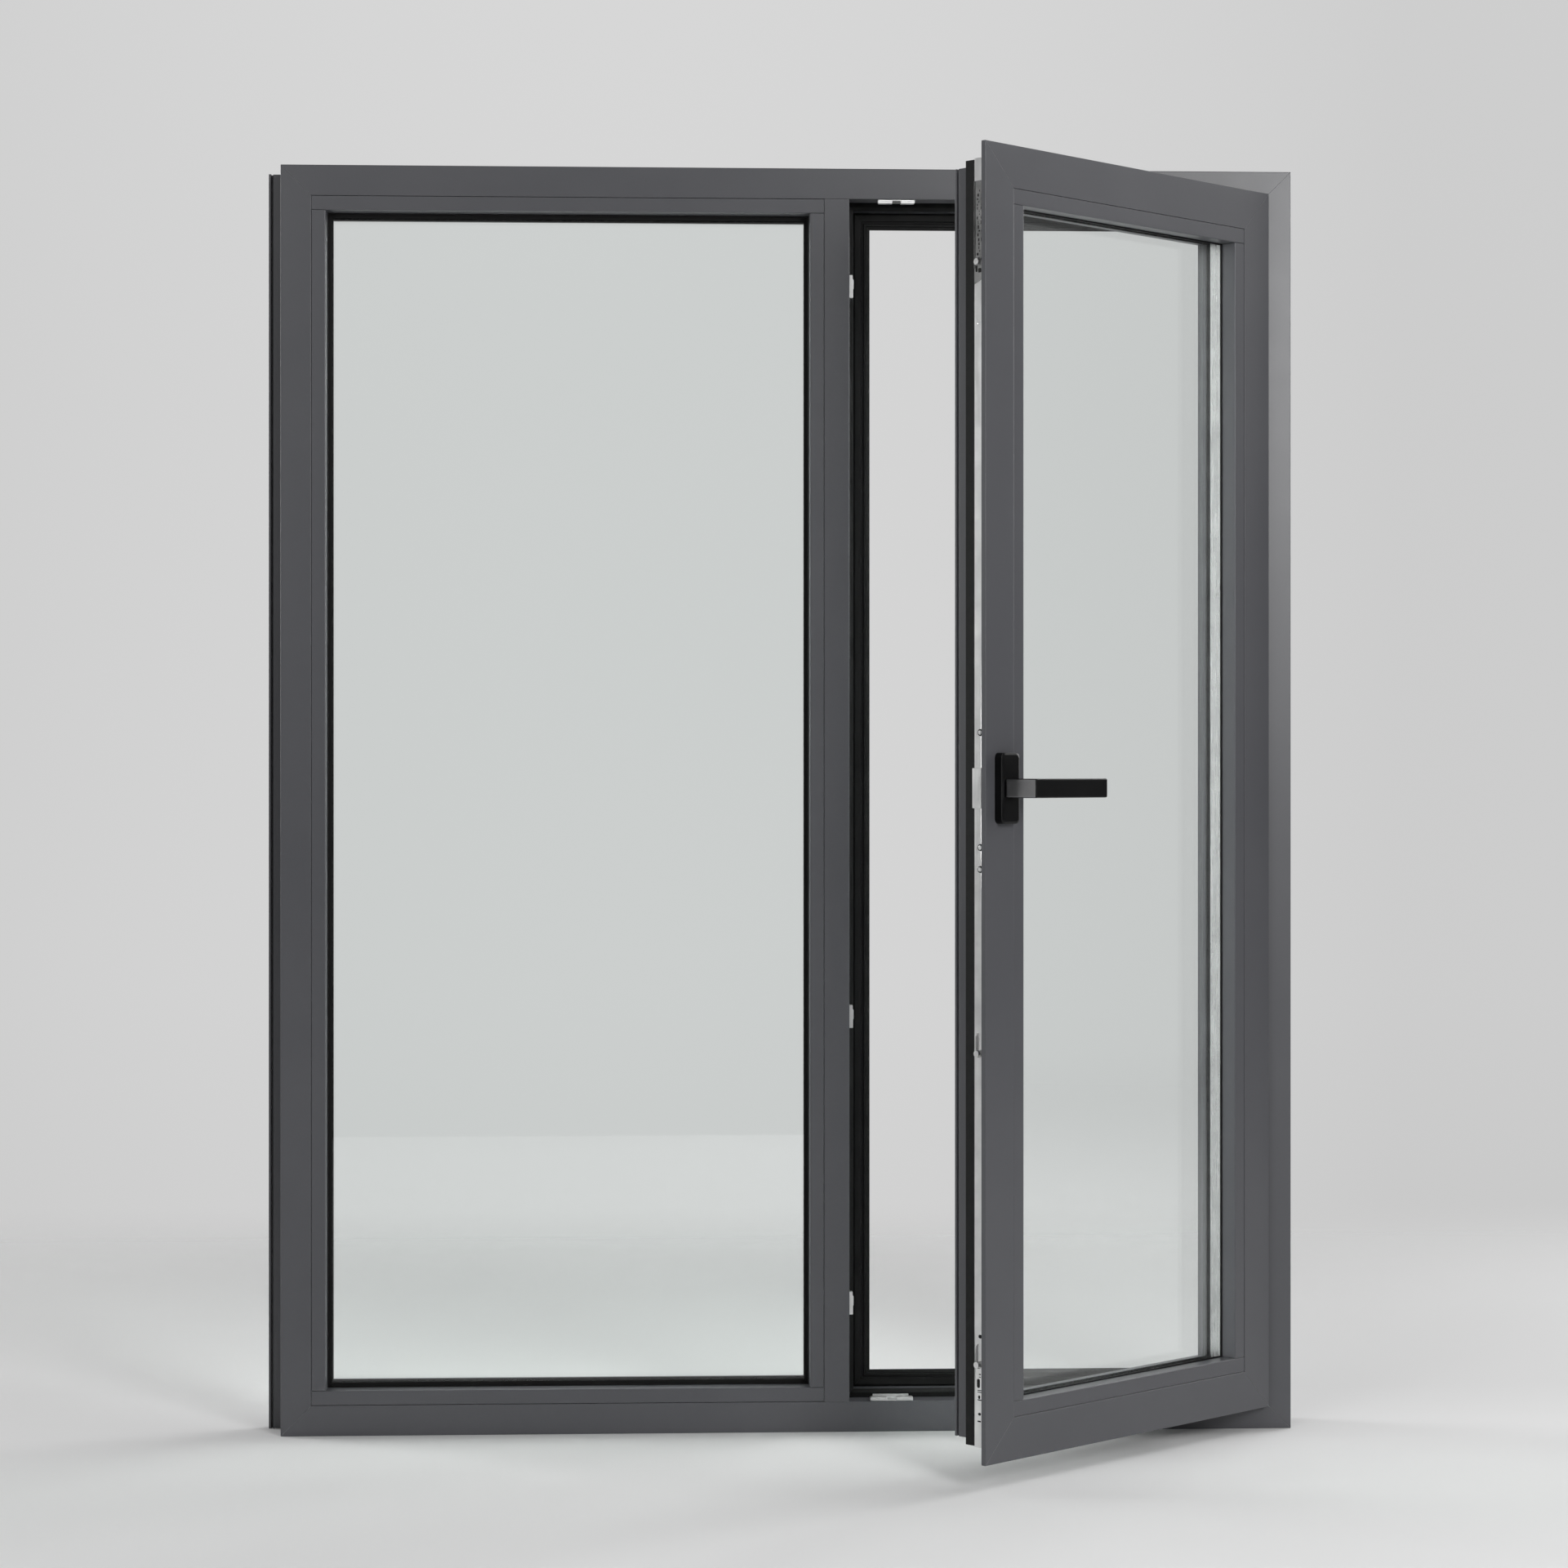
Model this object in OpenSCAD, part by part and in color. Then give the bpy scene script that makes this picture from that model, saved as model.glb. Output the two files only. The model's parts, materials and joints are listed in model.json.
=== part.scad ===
// Two-light metal window: a fixed light beside an inward-opening casement vent that
// hangs on concealed scissor hinges and locks with a handle-driven perimeter rod.
// Origin: middle of the sill's bottom face. +Z up, the room is towards -Y, the open
// air towards +Y. The vent stands open by sash_open about its vertical swing line.

/* [Overall] */
// Width over the outer frame
window_w = 1200; // [950:1:1800]
// Height over the outer frame
window_h = 1500; // [1150:1:2200]
// Depth of the outer frame, room face to outside face
frame_depth = 70; // [70:1:90]
// Sight width of the head, sill and jambs
frame_face = 36; // [34:1:60]
// Sight width of the mullion between the two lights
mullion_face = 30; // [28:1:60]
// Clear rebate width of the vent, mullion to hinge jamb
vent_w = 492; // [440:1:700]
// Angle the sash stands open, in degrees
sash_open = 42.6; // [0:0.1:90]
// Width of the coupling profile on the fixed-light side
coupling_w = 19; // [12:1:40]

/* [Profiles] */
// Wall of the hollow metal profiles
wall = 2.2; // [1.6:0.1:3]
// Depth of the frame's room-side shell
inner_shell = 27; // [27:1:30]
// Depth of the frame's insulating strip
break_depth = 22; // [18:1:22]
// How far the outside shell stands up past the rebate edge
upstand = 21; // [18:1:26]
// Thickness of that upstand
upstand_t = 10; // [8:1:10]
// Recess of the insulating strip behind the rebate surface
break_recess = 2; // [1:0.5:4]

/* [Sash] */
// Overlap of the sash flange on the frame face
overlap = 8; // [7:0.5:10]
// Hardware gap between rebate and sash edge
edge_gap = 12; // [12:0.5:14]
// Height of the closed sash face above the frame face
sash_proud = 8.5; // [8.5:0.5:10]
// Sash depth, face to outside
sash_depth = 65; // [65:1:70]
// Width of the sash face up to its glazing beads
sash_face = 47; // [47:1:70]
// Thickness of the overlapping flange
flange_t = 6; // [5:0.5:6]
// Depth of the sash's room-side shell
sash_inner = 31; // [31:1:34]
// Depth of the sash's insulating strip
sash_break = 16; // [14:1:16]

/* [Glazing] */
// Width of the fixed light's beads
fixed_bead = 17; // [15:0.5:22]
// Depth of the fixed light's beads
fixed_bead_depth = 25; // [22:0.5:25]
// Width of the sash beads
sash_bead = 17.5; // [15:0.5:22]
// Depth of the sash beads
sash_bead_depth = 20; // [18:0.5:20]
// Thickness of each pane
pane_t = 6; // [4:0.5:6]
// Air space between the panes
cavity = 16; // [12:1:16]
// Gap round the edge of the glass
glass_gap = 4; // [3:0.5:5]
// Step of the bead faces below the profile face
bead_step = 0.6; // [0.3:0.1:1]

/* [Hinges] */
// Swing line beyond the sash's hinge edge
swing_side = 3; // [2:0.5:5]
// Swing line in front of the closed sash face
swing_front = 1.5; // [1:0.5:3]
// Distance of the near frame pivot from the swing line
near_frame = 27; // [26:0.5:30]
// Distance of the far frame pivot from the swing line
far_frame = 48; // [47:0.5:50]
// Distance of the near sash pivot from the swing line
near_sash = 105; // [102:1:125]
// Distance of the far sash pivot from the swing line
far_sash = 150; // [140:1:175]
// Direction of the frame pivots from the swing line, in degrees
frame_dir = 144.8; // [143:0.1:146]
// Direction of the sash pivots when shut, in degrees
sash_dir = 171.5; // [171:0.1:172]
// Radius of the hinge pins
pin_r = 2.5; // [2:0.1:2.8]
// Radius of the eyes at the ends of the arms
eye_r = 4.5; // [4.2:0.1:4.6]

/* [Lock] */
// Travel of the rods for a quarter turn of the handle
rod_travel = 18; // [15:1:20]
// Radius of the locking cams
cam_r = 3.5; // [3:0.1:4]
// Length of a keeper on the mullion
keeper_len = 26; // [24:1:34]
// Bottom of the lowest keeper
keeper_low = 139; // [130:1:146]
// Drop of the middle keeper below the handle
keeper_drop = 286; // [180:1:320]
// Bottom of the top keeper below the window's top
keeper_high = 152; // [146:1:160]

/* [Handle] */
// Height of the handle's turning axis
handle_z = 766; // [560:1:900]
// Turning axis in from the sash's free edge
handle_s = 30; // [29:0.5:32]
// Width of the rosette
rosette_w = 30; // [26:1:32]
// Height of the rosette
rosette_h = 78; // [66:1:100]
// Thickness of the rosette
rosette_t = 11; // [8:0.5:14]
// Height of the lever's square section
lever_h = 21; // [18:1:26]
// Length of the grip from the turning axis
lever_len = 112; // [90:1:140]
// Reach of the grip's face from the sash face
lever_reach = 55; // [48:1:70]
// Thickness of the grip
grip_t = 9; // [8:0.5:12]

/* [Hidden] */
$fn = 48;
hairline = 0.05;     // joint between strips that meet at a mitre
run_fit = 0.05;      // radial clearance of pins and shafts in their bores
play = 0.3;          // clearance between pieces that move past each other
plate_t = 3;         // hinge plates
arm_t = 2.5;         // hinge arms
arm_w = 8;
channel_h = 5;       // height of the rod channel on the sash edge
channel_w = 12.5;
channel_skin = 2;
channel_leg = 1.2;
channel_off = 17;    // channel behind the sash face
rod_w = 9.5;
rod_t = 2.2;
screw_r = 1.8;
screw_head = 3.2;
spindle_w = 7;
follower_r = 8;

room = -frame_depth / 2;
outside = frame_depth / 2;
inner_end = room + inner_shell;
break_end = inner_end + break_depth;
upstand_y = outside - upstand_t;

vent_x1 = window_w / 2 - frame_face;
vent_x0 = vent_x1 - vent_w;
vent_h = window_h - 2 * frame_face;
fixed_x0 = -window_w / 2 + frame_face;
fixed_x1 = vent_x0 - mullion_face;
fixed_w = fixed_x1 - fixed_x0;
mid_z = window_h / 2;

sash_x0 = vent_x0 - overlap;
sash_x1 = vent_x1 + overlap;
sash_w = vent_w + 2 * overlap;
sash_h = vent_h + 2 * overlap;
sash_z0 = frame_face - overlap;
sash_z1 = window_h - sash_z0;
sash_mid = (sash_x0 + sash_x1) / 2;
sash_y = room - sash_proud;
sash_inner_y = sash_y + sash_inner;
sash_break_y = sash_inner_y + sash_break;
sash_back = sash_y + sash_depth;
edge_s = overlap + edge_gap;       // sash edge in from the flange edge
outer_s = edge_s + 2;              // outside shell, a little further in
sash_up_t = 12;
sash_up_y = sash_back - sash_up_t;
sash_up_s = sash_face + 15;

igu_t = 2 * pane_t + cavity;
fixed_glass_y = upstand_y - 3 - igu_t;
sash_glass_y = sash_up_y - 3 - igu_t;
fixed_bead_y = room + bead_step;
fixed_bead_end = room + fixed_bead_depth;
sash_bead_y = sash_y + bead_step;
sash_bead_end = sash_y + sash_bead_depth;

swing = [sash_x1 + swing_side, sash_y - swing_front];
function polar(r, a) = [r * cos(a), r * sin(a)];
pivot_a1 = swing + polar(near_frame, frame_dir);
pivot_a2 = swing + polar(far_frame, frame_dir);
arm_dir = sash_dir + sash_open;
pivot_c1 = swing + polar(near_sash, arm_dir);
pivot_c2 = swing + polar(far_sash, arm_dir);
rebate_top = window_h - frame_face;
arm_z = rebate_top - plate_t - play - arm_t;
link_z = arm_z - play - arm_t;
sash_top = sash_z1 - edge_s;
sash_plate_t = link_z - play - sash_top;

chan_y = sash_y + channel_off;
rod_y = chan_y + channel_w / 2;
face_s = edge_s - channel_h;       // outer skin of the rod channel
cam_tip_s = overlap + 2.5;
corner_leg = 137;
corner_arm = 125;
cam_gap = 1.5;
cam_low = keeper_low - cam_r - cam_gap;
cam_mid = handle_z - keeper_drop - cam_r - cam_gap;
cam_top = window_h - keeper_high - cam_r - cam_gap;
lip_y1 = rod_y - cam_r - 0.45;
lip_y0 = room + 2;
keeper_rise = 5;
keeper_base = 1.3;
keeper_back = 23;
head_keeper_x = vent_x0 + 34;
head_keeper_len = 44;
sill_keeper_x = vent_x0 + 25;
sill_keeper_len = 51;
keeper_slot = 6;
cam_head_x = head_keeper_x - cam_r - cam_gap;
cam_sill_x = sill_keeper_x + sill_keeper_len + cam_r + cam_gap;
face_z0 = sash_z0 + face_s;
face_z1 = sash_z1 - face_s;
screw_z = [face_z0 + 200, handle_z - 89, handle_z - 65, handle_z + 61, face_z1 - 180];
fixing_z = 200;
fixing_r = 3.75;
fixing_y = room + inner_shell / 2;

graphite = [0.31, 0.32, 0.33];
black = [0.05, 0.05, 0.05];
silver = [0.75, 0.75, 0.74];
clear = [0.75, 0.82, 0.8, 0.35];

TOP = 0;
RIGHT = 1;
BOTTOM = 2;
LEFT = 3;

// Section rectangle: u in from the outer edge, y through the depth
module sec(u0, u1, y0, y1) {
  translate([u0, y0]) square([u1 - u0, y1 - y0]);
}

module block(a, b) {
  translate(a) cube(b - a);
}

// One side of a rectangular ring, its ends mitred; the section is the child.
// Strips that share a part keep a hairline joint between their mitres
module side(k, w, h, cx, cz, deep, joint = 0) {
  len = k % 2 == 0 ? w : h;
  half = k % 2 == 0 ? h / 2 : w / 2;
  translate([cx, 0, cz]) rotate([0, 90 * k, 0])
    intersection() {
      translate([-len / 2, 0, half]) rotate([0, 90, 0])
        linear_extrude(height = len) children();
      rotate([90, 0, 0]) linear_extrude(height = 8 * frame_depth, center = true)
        polygon([[joint - len / 2, half], [len / 2 - joint, half],
                 [len / 2 - joint - deep, half - deep],
                 [joint + deep - len / 2, half - deep]]);
    }
}

module frame_side(k, deep, joint = 0) {
  side(k, window_w, window_h, 0, mid_z, deep, joint) children();
}

module sash_side(k, deep, joint = 0) {
  side(k, sash_w, sash_h, sash_mid, mid_z, deep, joint) children();
}

// Moves a closed sash piece to where the sash stands
module swung() {
  translate([swing[0], swing[1], 0]) rotate([0, 0, sash_open])
    translate([-swing[0], -swing[1], 0]) children();
}

// The same piece at the top, and mirrored at the bottom
module top_and_bottom() {
  children();
  translate([0, 0, window_h]) mirror([0, 0, 1]) children();
}

// ---- outer frame sections ----
module frame_inner_sec(width) {
  difference() {
    sec(0, width, room, inner_end);
    sec(wall, width - wall, room + wall, inner_end - wall);
  }
}

module frame_outer_sec() {
  difference() {
    polygon([[0, break_end], [frame_face, break_end], [frame_face, upstand_y],
             [frame_face + upstand, upstand_y], [frame_face + upstand, outside],
             [0, outside]]);
    sec(wall, frame_face - wall, break_end + wall, outside - wall);
    sec(frame_face, frame_face + upstand - wall, upstand_y + wall, outside - wall);
  }
}

module break_sec(u0, u1, y0, y1) {
  difference() {
    sec(u0, u1, y0, y1);
    sec(u0 + wall, u1 - wall, y0 + wall, y1 - wall);
  }
}

module jamb_inner(k) {
  difference() {
    frame_side(k, frame_face) frame_inner_sec(frame_face);
    for (z = [fixing_z, window_h - fixing_z])
      translate([0, fixing_y, z]) rotate([0, k == RIGHT ? 90 : -90, 0])
        translate([0, 0, window_w / 2 - frame_face - 1])
          cylinder(r = fixing_r, h = frame_face + 2);
  }
}

// Upright bar with a (x, y) section as its child
module upright(x, z0, z1) {
  translate([x, 0, z0]) linear_extrude(height = z1 - z0) children();
}

module frame_head_inner() {
  color(graphite) frame_side(TOP, frame_face) frame_inner_sec(frame_face);
}
module frame_sill_inner() {
  color(graphite) frame_side(BOTTOM, frame_face) frame_inner_sec(frame_face);
}
module frame_left_jamb_inner() { color(graphite) jamb_inner(LEFT); }
module frame_right_jamb_inner() { color(graphite) jamb_inner(RIGHT); }

module frame_outer_rails() {
  color(graphite) for (k = [TOP, BOTTOM])
    frame_side(k, frame_face + upstand) frame_outer_sec();
}
module frame_outer_jambs() {
  color(graphite) for (k = [LEFT, RIGHT])
    frame_side(k, frame_face + upstand) frame_outer_sec();
}
module frame_thermal_breaks() {
  color(black) {
    for (k = [TOP, RIGHT, BOTTOM, LEFT])
      frame_side(k, frame_face, hairline)
        break_sec(0, frame_face - break_recess, inner_end, break_end);
    upright(fixed_x1, frame_face - break_recess + hairline,
            rebate_top + break_recess - hairline)
      break_sec(break_recess, mullion_face - break_recess, inner_end, break_end);
  }
}
module mullion_inner() {
  color(graphite) upright(fixed_x1, frame_face, rebate_top)
    frame_inner_sec(mullion_face);
}
module mullion_outer() {
  color(graphite) difference() {
    upright(fixed_x1, frame_face, rebate_top) difference() {
      polygon([[0, break_end], [mullion_face, break_end], [mullion_face, upstand_y],
               [mullion_face + upstand, upstand_y], [mullion_face + upstand, outside],
               [-upstand, outside], [-upstand, upstand_y], [0, upstand_y]]);
      sec(wall, mullion_face - wall, break_end + wall, outside - wall);
      sec(-upstand + wall, 0, upstand_y + wall, outside - wall);
      sec(mullion_face, mullion_face + upstand - wall, upstand_y + wall, outside - wall);
    }
    for (z = [frame_face - 1, rebate_top - upstand])
      block([fixed_x1 - upstand - 1, upstand_y, z],
            [vent_x0 + upstand + 1, outside + 1, z + upstand + 1]);
  }
}
module coupling_profile() {
  lip = 3;
  slot = 2;
  front = inner_end + 27;
  back = outside - 5;
  top_gap = 3;
  x = -window_w / 2 - coupling_w;
  color(graphite) upright(x, 0, window_h - top_gap) difference() {
    union() {
      sec(0, lip, front - 2, back);
      sec(lip, lip + slot, front + 5, back);
      sec(lip + slot, coupling_w, front, back);
    }
    sec(lip + slot + wall, coupling_w - wall, front + wall, back - wall);
  }
}

// ---- fixed light ----
bead_wall = 1.6;
module bead_sec(width, y0, y1) {
  difference() {
    sec(0, width, y0, y1);
    sec(bead_wall, width - bead_wall, y0 + bead_wall, y1 - bead_wall);
  }
}

// A square-cut bead along the head or sill side of an opening
module bead_level(k, w, h, cx, width, y0, y1) {
  translate([cx, 0, mid_z]) rotate([0, 90 * k, 0])
    translate([-w / 2, 0, h / 2]) rotate([0, 90, 0])
      linear_extrude(height = w) bead_sec(width, y0, y1);
}

module fixed_level(k) {
  bead_level(k, fixed_w, vent_h, (fixed_x0 + fixed_x1) / 2, fixed_bead,
             fixed_bead_y, fixed_bead_end);
}
module fixed_upright(x) {
  upright(x, frame_face + fixed_bead, rebate_top - fixed_bead)
    bead_sec(fixed_bead, fixed_bead_y, fixed_bead_end);
}
module fixed_bead_top() { color(graphite) fixed_level(TOP); }
module fixed_bead_bottom() { color(graphite) fixed_level(BOTTOM); }
module fixed_bead_left() { color(graphite) fixed_upright(fixed_x0); }
module fixed_bead_right() { color(graphite) fixed_upright(fixed_x1 - fixed_bead); }

// Two panes in an opening
module panes(x0, x1, z0, z1, y) {
  for (d = [0, pane_t + cavity])
    block([x0 + glass_gap, y + d, z0 + glass_gap],
          [x1 - glass_gap, y + d + pane_t, z1 - glass_gap]);
}

// Ring in a glazed opening, four mitred strips
module ring(x0, x1, z0, z1, u0, u1, y0, y1) {
  for (k = [TOP, RIGHT, BOTTOM, LEFT])
    side(k, x1 - x0, z1 - z0, (x0 + x1) / 2, (z0 + z1) / 2, u1, hairline)
      sec(u0, u1, y0, y1);
}

spacer_in = 7;
spacer_w = 6.5;
block_len = 100;
block_in = 60;

// Two glazing blocks under the panes
module setting_blocks(x0, x1, z0, y) {
  for (x = [x0 + block_in, x1 - block_in - block_len])
    block([x, y, z0], [x + block_len, y + igu_t, z0 + glass_gap]);
}

module fixed_panes() {
  color(clear) panes(fixed_x0, fixed_x1, frame_face, rebate_top, fixed_glass_y);
}
module fixed_spacer() {
  color(silver) ring(fixed_x0, fixed_x1, frame_face, rebate_top, spacer_in,
    spacer_in + spacer_w, fixed_glass_y + pane_t, fixed_glass_y + pane_t + cavity);
}
module fixed_gaskets() {
  color(black) {
    ring(fixed_x0, fixed_x1, frame_face, rebate_top, fixed_bead - 7, fixed_bead + 5.5,
         fixed_bead_end, fixed_glass_y);
    ring(fixed_x0, fixed_x1, frame_face, rebate_top, upstand - 9, upstand + 1,
         fixed_glass_y + igu_t, upstand_y);
  }
}
module fixed_setting_blocks() {
  color(black) setting_blocks(fixed_x0, fixed_x1, frame_face, fixed_glass_y);
}

// ---- vent rebate ----
module vent_stop_gasket() {
  color(black) ring(vent_x0, vent_x1, frame_face, rebate_top, edge_gap - 4,
    upstand + 7, sash_back + play, upstand_y);
}
module vent_centre_gasket() {
  r = break_recess;
  lip = 7.5;
  color(black) ring(vent_x0 - r, vent_x1 + r, frame_face - r, rebate_top + r, 0,
    r + lip, break_end - 6, break_end);
}

// A keeper on a level rebate surface: base plate and raised lip along +X
module keeper(len, slot) {
  difference() {
    union() {
      block([0, lip_y0, 0], [len, lip_y0 + keeper_back, keeper_base]);
      block([0, lip_y0, 0], [len, lip_y1, keeper_rise]);
    }
    if (slot > 0)
      block([len / 2 - slot / 2, lip_y0 - 1, keeper_base],
            [len / 2 + slot / 2, lip_y1 + 1, keeper_rise + 1]);
  }
}
module mullion_keepers() {
  color(silver)
    for (z = [keeper_low, handle_z - keeper_drop, window_h - keeper_high])
      translate([vent_x0, 0, z + keeper_len]) rotate([0, 90, 0]) keeper(keeper_len, 0);
}
module head_keeper() {
  color(silver) translate([head_keeper_x, 0, rebate_top])
    mirror([0, 0, 1]) keeper(head_keeper_len, keeper_slot);
}
module sill_keeper() {
  color(silver) translate([sill_keeper_x, 0, frame_face])
    keeper(sill_keeper_len, keeper_slot);
}

// ---- sash sections ----
module sash_inner_sec() {
  difference() {
    polygon([[0, sash_y], [sash_face, sash_y], [sash_face, sash_inner_y],
             [edge_s, sash_inner_y], [edge_s, sash_y + flange_t],
             [0, sash_y + flange_t]]);
    sec(edge_s + wall, sash_face - wall, sash_y + wall, sash_inner_y - wall);
  }
}
module sash_outer_sec() {
  notch = 3;
  lip = 3;
  difference() {
    polygon([[outer_s, sash_break_y], [sash_face, sash_break_y],
             [sash_face, sash_up_y], [sash_up_s, sash_up_y], [sash_up_s, sash_back],
             [outer_s, sash_back], [outer_s, sash_back - lip],
             [outer_s + notch, sash_back - lip],
             [outer_s + notch, sash_back - lip - notch],
             [outer_s, sash_back - lip - notch]]);
    sec(outer_s + wall, sash_face - wall, sash_break_y + wall, sash_up_y - 1);
    sec(outer_s + notch + wall, sash_up_s - wall, sash_up_y + wall,
        sash_back - wall);
  }
}

module lock_stile_cut() {
  // spindle hole, then the screw holes of the faceplate
  translate([sash_x0 + handle_s, sash_y - 1, handle_z]) rotate([-90, 0, 0])
    cylinder(r = follower_r - 1, h = wall + 2);
  for (z = screw_z)
    translate([sash_x0 + face_s, rod_y, z]) rotate([0, 90, 0])
      cylinder(r = screw_r + run_fit, h = channel_h + wall + 1);
}

module sash_top_rail_inner() {
  color(graphite) swung() sash_side(TOP, sash_face) sash_inner_sec();
}
module sash_bottom_rail_inner() {
  color(graphite) swung() sash_side(BOTTOM, sash_face) sash_inner_sec();
}
module sash_lock_stile_inner() {
  color(graphite) swung() difference() {
    sash_side(LEFT, sash_face) sash_inner_sec();
    lock_stile_cut();
  }
}
module sash_hinge_stile_inner() {
  color(graphite) swung() sash_side(RIGHT, sash_face) sash_inner_sec();
}
module sash_outer_rails() {
  color(graphite) swung() for (k = [TOP, BOTTOM])
    sash_side(k, sash_up_s) sash_outer_sec();
}
module sash_outer_stiles() {
  color(graphite) swung() for (k = [LEFT, RIGHT])
    sash_side(k, sash_up_s) sash_outer_sec();
}
module sash_thermal_breaks() {
  color(black) swung() for (k = [TOP, RIGHT, BOTTOM, LEFT])
    sash_side(k, sash_face, hairline)
      break_sec(outer_s, sash_face, sash_inner_y, sash_break_y);
}
module sash_overlap_gasket() {
  color(black) swung() ring(sash_x0, sash_x1, sash_z0, sash_z1, 1, overlap - 1,
    sash_y + flange_t, room - play);
}

// ---- sash glazing ----
module sash_level(k) {
  bead_level(k, sash_w - 2 * sash_face, sash_h - 2 * sash_face, sash_mid, sash_bead,
             sash_bead_y, sash_bead_end);
}
module sash_upright(x) {
  d = sash_face + sash_bead;
  upright(x, sash_z0 + d, sash_z1 - d) bead_sec(sash_bead, sash_bead_y, sash_bead_end);
}
glass_x0 = sash_x0 + sash_face;
glass_x1 = sash_x1 - sash_face;
glass_z0 = sash_z0 + sash_face;
glass_z1 = sash_z1 - sash_face;
module sash_bead_top() { color(graphite) swung() sash_level(TOP); }
module sash_bead_bottom() { color(graphite) swung() sash_level(BOTTOM); }
module sash_bead_lock_side() { color(graphite) swung() sash_upright(glass_x0); }
module sash_bead_hinge_side() {
  color(graphite) swung() sash_upright(glass_x1 - sash_bead);
}
module sash_panes() {
  color(clear) swung() panes(glass_x0, glass_x1, glass_z0, glass_z1, sash_glass_y);
}
module sash_spacer() {
  color(silver) swung() ring(glass_x0, glass_x1, glass_z0, glass_z1, spacer_in,
    spacer_in + spacer_w, sash_glass_y + pane_t, sash_glass_y + pane_t + cavity);
}
module sash_gaskets() {
  color(black) swung() {
    ring(glass_x0, glass_x1, glass_z0, glass_z1, sash_bead - 7, sash_bead + 1.5,
         sash_bead_end, sash_glass_y);
    ring(glass_x0, glass_x1, glass_z0, glass_z1, 6, 16.5, sash_glass_y + igu_t,
         sash_up_y);
  }
}
module sash_setting_blocks() {
  color(black) swung() setting_blocks(glass_x0, glass_x1, glass_z0, sash_glass_y);
}

// ---- lock edge ----
module sash_edge_seal() {
  seal_s = face_s + 1;
  seal_y0 = chan_y + channel_w + 0.5;
  seal_y1 = sash_y + 43.3;
  color(black) swung() upright(sash_x0, face_z0 + 1, face_z1 - 1)
    polygon([[seal_s, seal_y0], [edge_s, seal_y0], [edge_s, sash_inner_y],
             [outer_s, sash_inner_y], [outer_s, seal_y1], [seal_s, seal_y1]]);
}

// Rod channel along +X on a level edge at z = 0, skin on top
module channel(len) {
  difference() {
    block([0, chan_y, 0], [len, chan_y + channel_w, channel_h]);
    block([-1, chan_y + channel_leg, -1],
          [len + 1, chan_y + channel_w - channel_leg, channel_h - channel_skin]);
  }
}
// Slot through the skin for a cam that starts at x and moves by rod_travel
module cam_slot(x) {
  r = cam_r + 1;
  for (d = [0, rod_travel])
    translate([x + d, rod_y, 0]) cylinder(r = r, h = channel_h + 1);
  block([x, rod_y - r, 0], [x + rod_travel, rod_y + r, channel_h + 1]);
}
// Turns a level piece on to the lock edge: +X becomes +Z, +Z points at the mullion
module on_lock_edge() {
  translate([sash_x0 + edge_s, 0, 0]) rotate([0, -90, 0]) children();
}
module screw_holes() {
  for (z = screw_z) translate([z, rod_y, 0]) {
    cylinder(r = screw_r + run_fit, h = channel_h + 1);
    translate([0, 0, channel_h - 1]) cylinder(r = screw_head + run_fit, h = 2);
  }
}
module lock_faceplate() {
  color(silver) swung() on_lock_edge() difference() {
    translate([face_z0 + corner_leg, 0, 0])
      channel(face_z1 - face_z0 - 2 * corner_leg);
    cam_slot(cam_mid);
    screw_holes();
  }
}
// Corner drive: channel legs on both edges, drawn for the top corner
module corner(cam_up, cam_across) {
  difference() {
    union() {
      on_lock_edge() translate([face_z1 - corner_leg, 0, 0]) channel(corner_leg);
      translate([sash_x0 + face_s, 0, sash_top]) channel(corner_arm);
    }
    on_lock_edge() cam_slot(cam_up);
    translate([0, 0, sash_top]) cam_slot(cam_across);
  }
}
module corner_drive_top() {
  color(silver) swung() corner(cam_top, cam_head_x);
}
module corner_drive_bottom() {
  color(silver) swung() translate([0, 0, window_h]) mirror([0, 0, 1])
    corner(window_h - cam_low - rod_travel, cam_sill_x - rod_travel);
}
module faceplate_screws() {
  color(silver) swung() on_lock_edge() for (z = screw_z) translate([z, rod_y, 0]) {
    translate([0, 0, -wall - 6]) cylinder(r = screw_r, h = channel_h + wall + 5.5);
    translate([0, 0, channel_h - 1]) cylinder(r = screw_head, h = 0.8);
  }
}
module forend_block() {
  len = 44;
  color(silver) swung() on_lock_edge()
    block([handle_z - len / 2, chan_y, channel_h],
          [handle_z + len / 2, chan_y + channel_w + 1, channel_h + 1.8]);
}
gear_w = 19;
gear_h = 110;
gear_y0 = sash_y + wall;
gear_y1 = sash_inner_y - wall - 2;
module gearbox() {
  x = sash_x0 + edge_s + wall;
  color(silver) swung() difference() {
    block([x, gear_y0, handle_z - gear_h / 2], [x + gear_w, gear_y1, handle_z + gear_h / 2]);
    translate([sash_x0 + handle_s, gear_y0 - 1, handle_z]) rotate([-90, 0, 0])
      cylinder(r = follower_r - 1 + run_fit, h = gear_y1 - gear_y0 + 2);
  }
}

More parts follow.
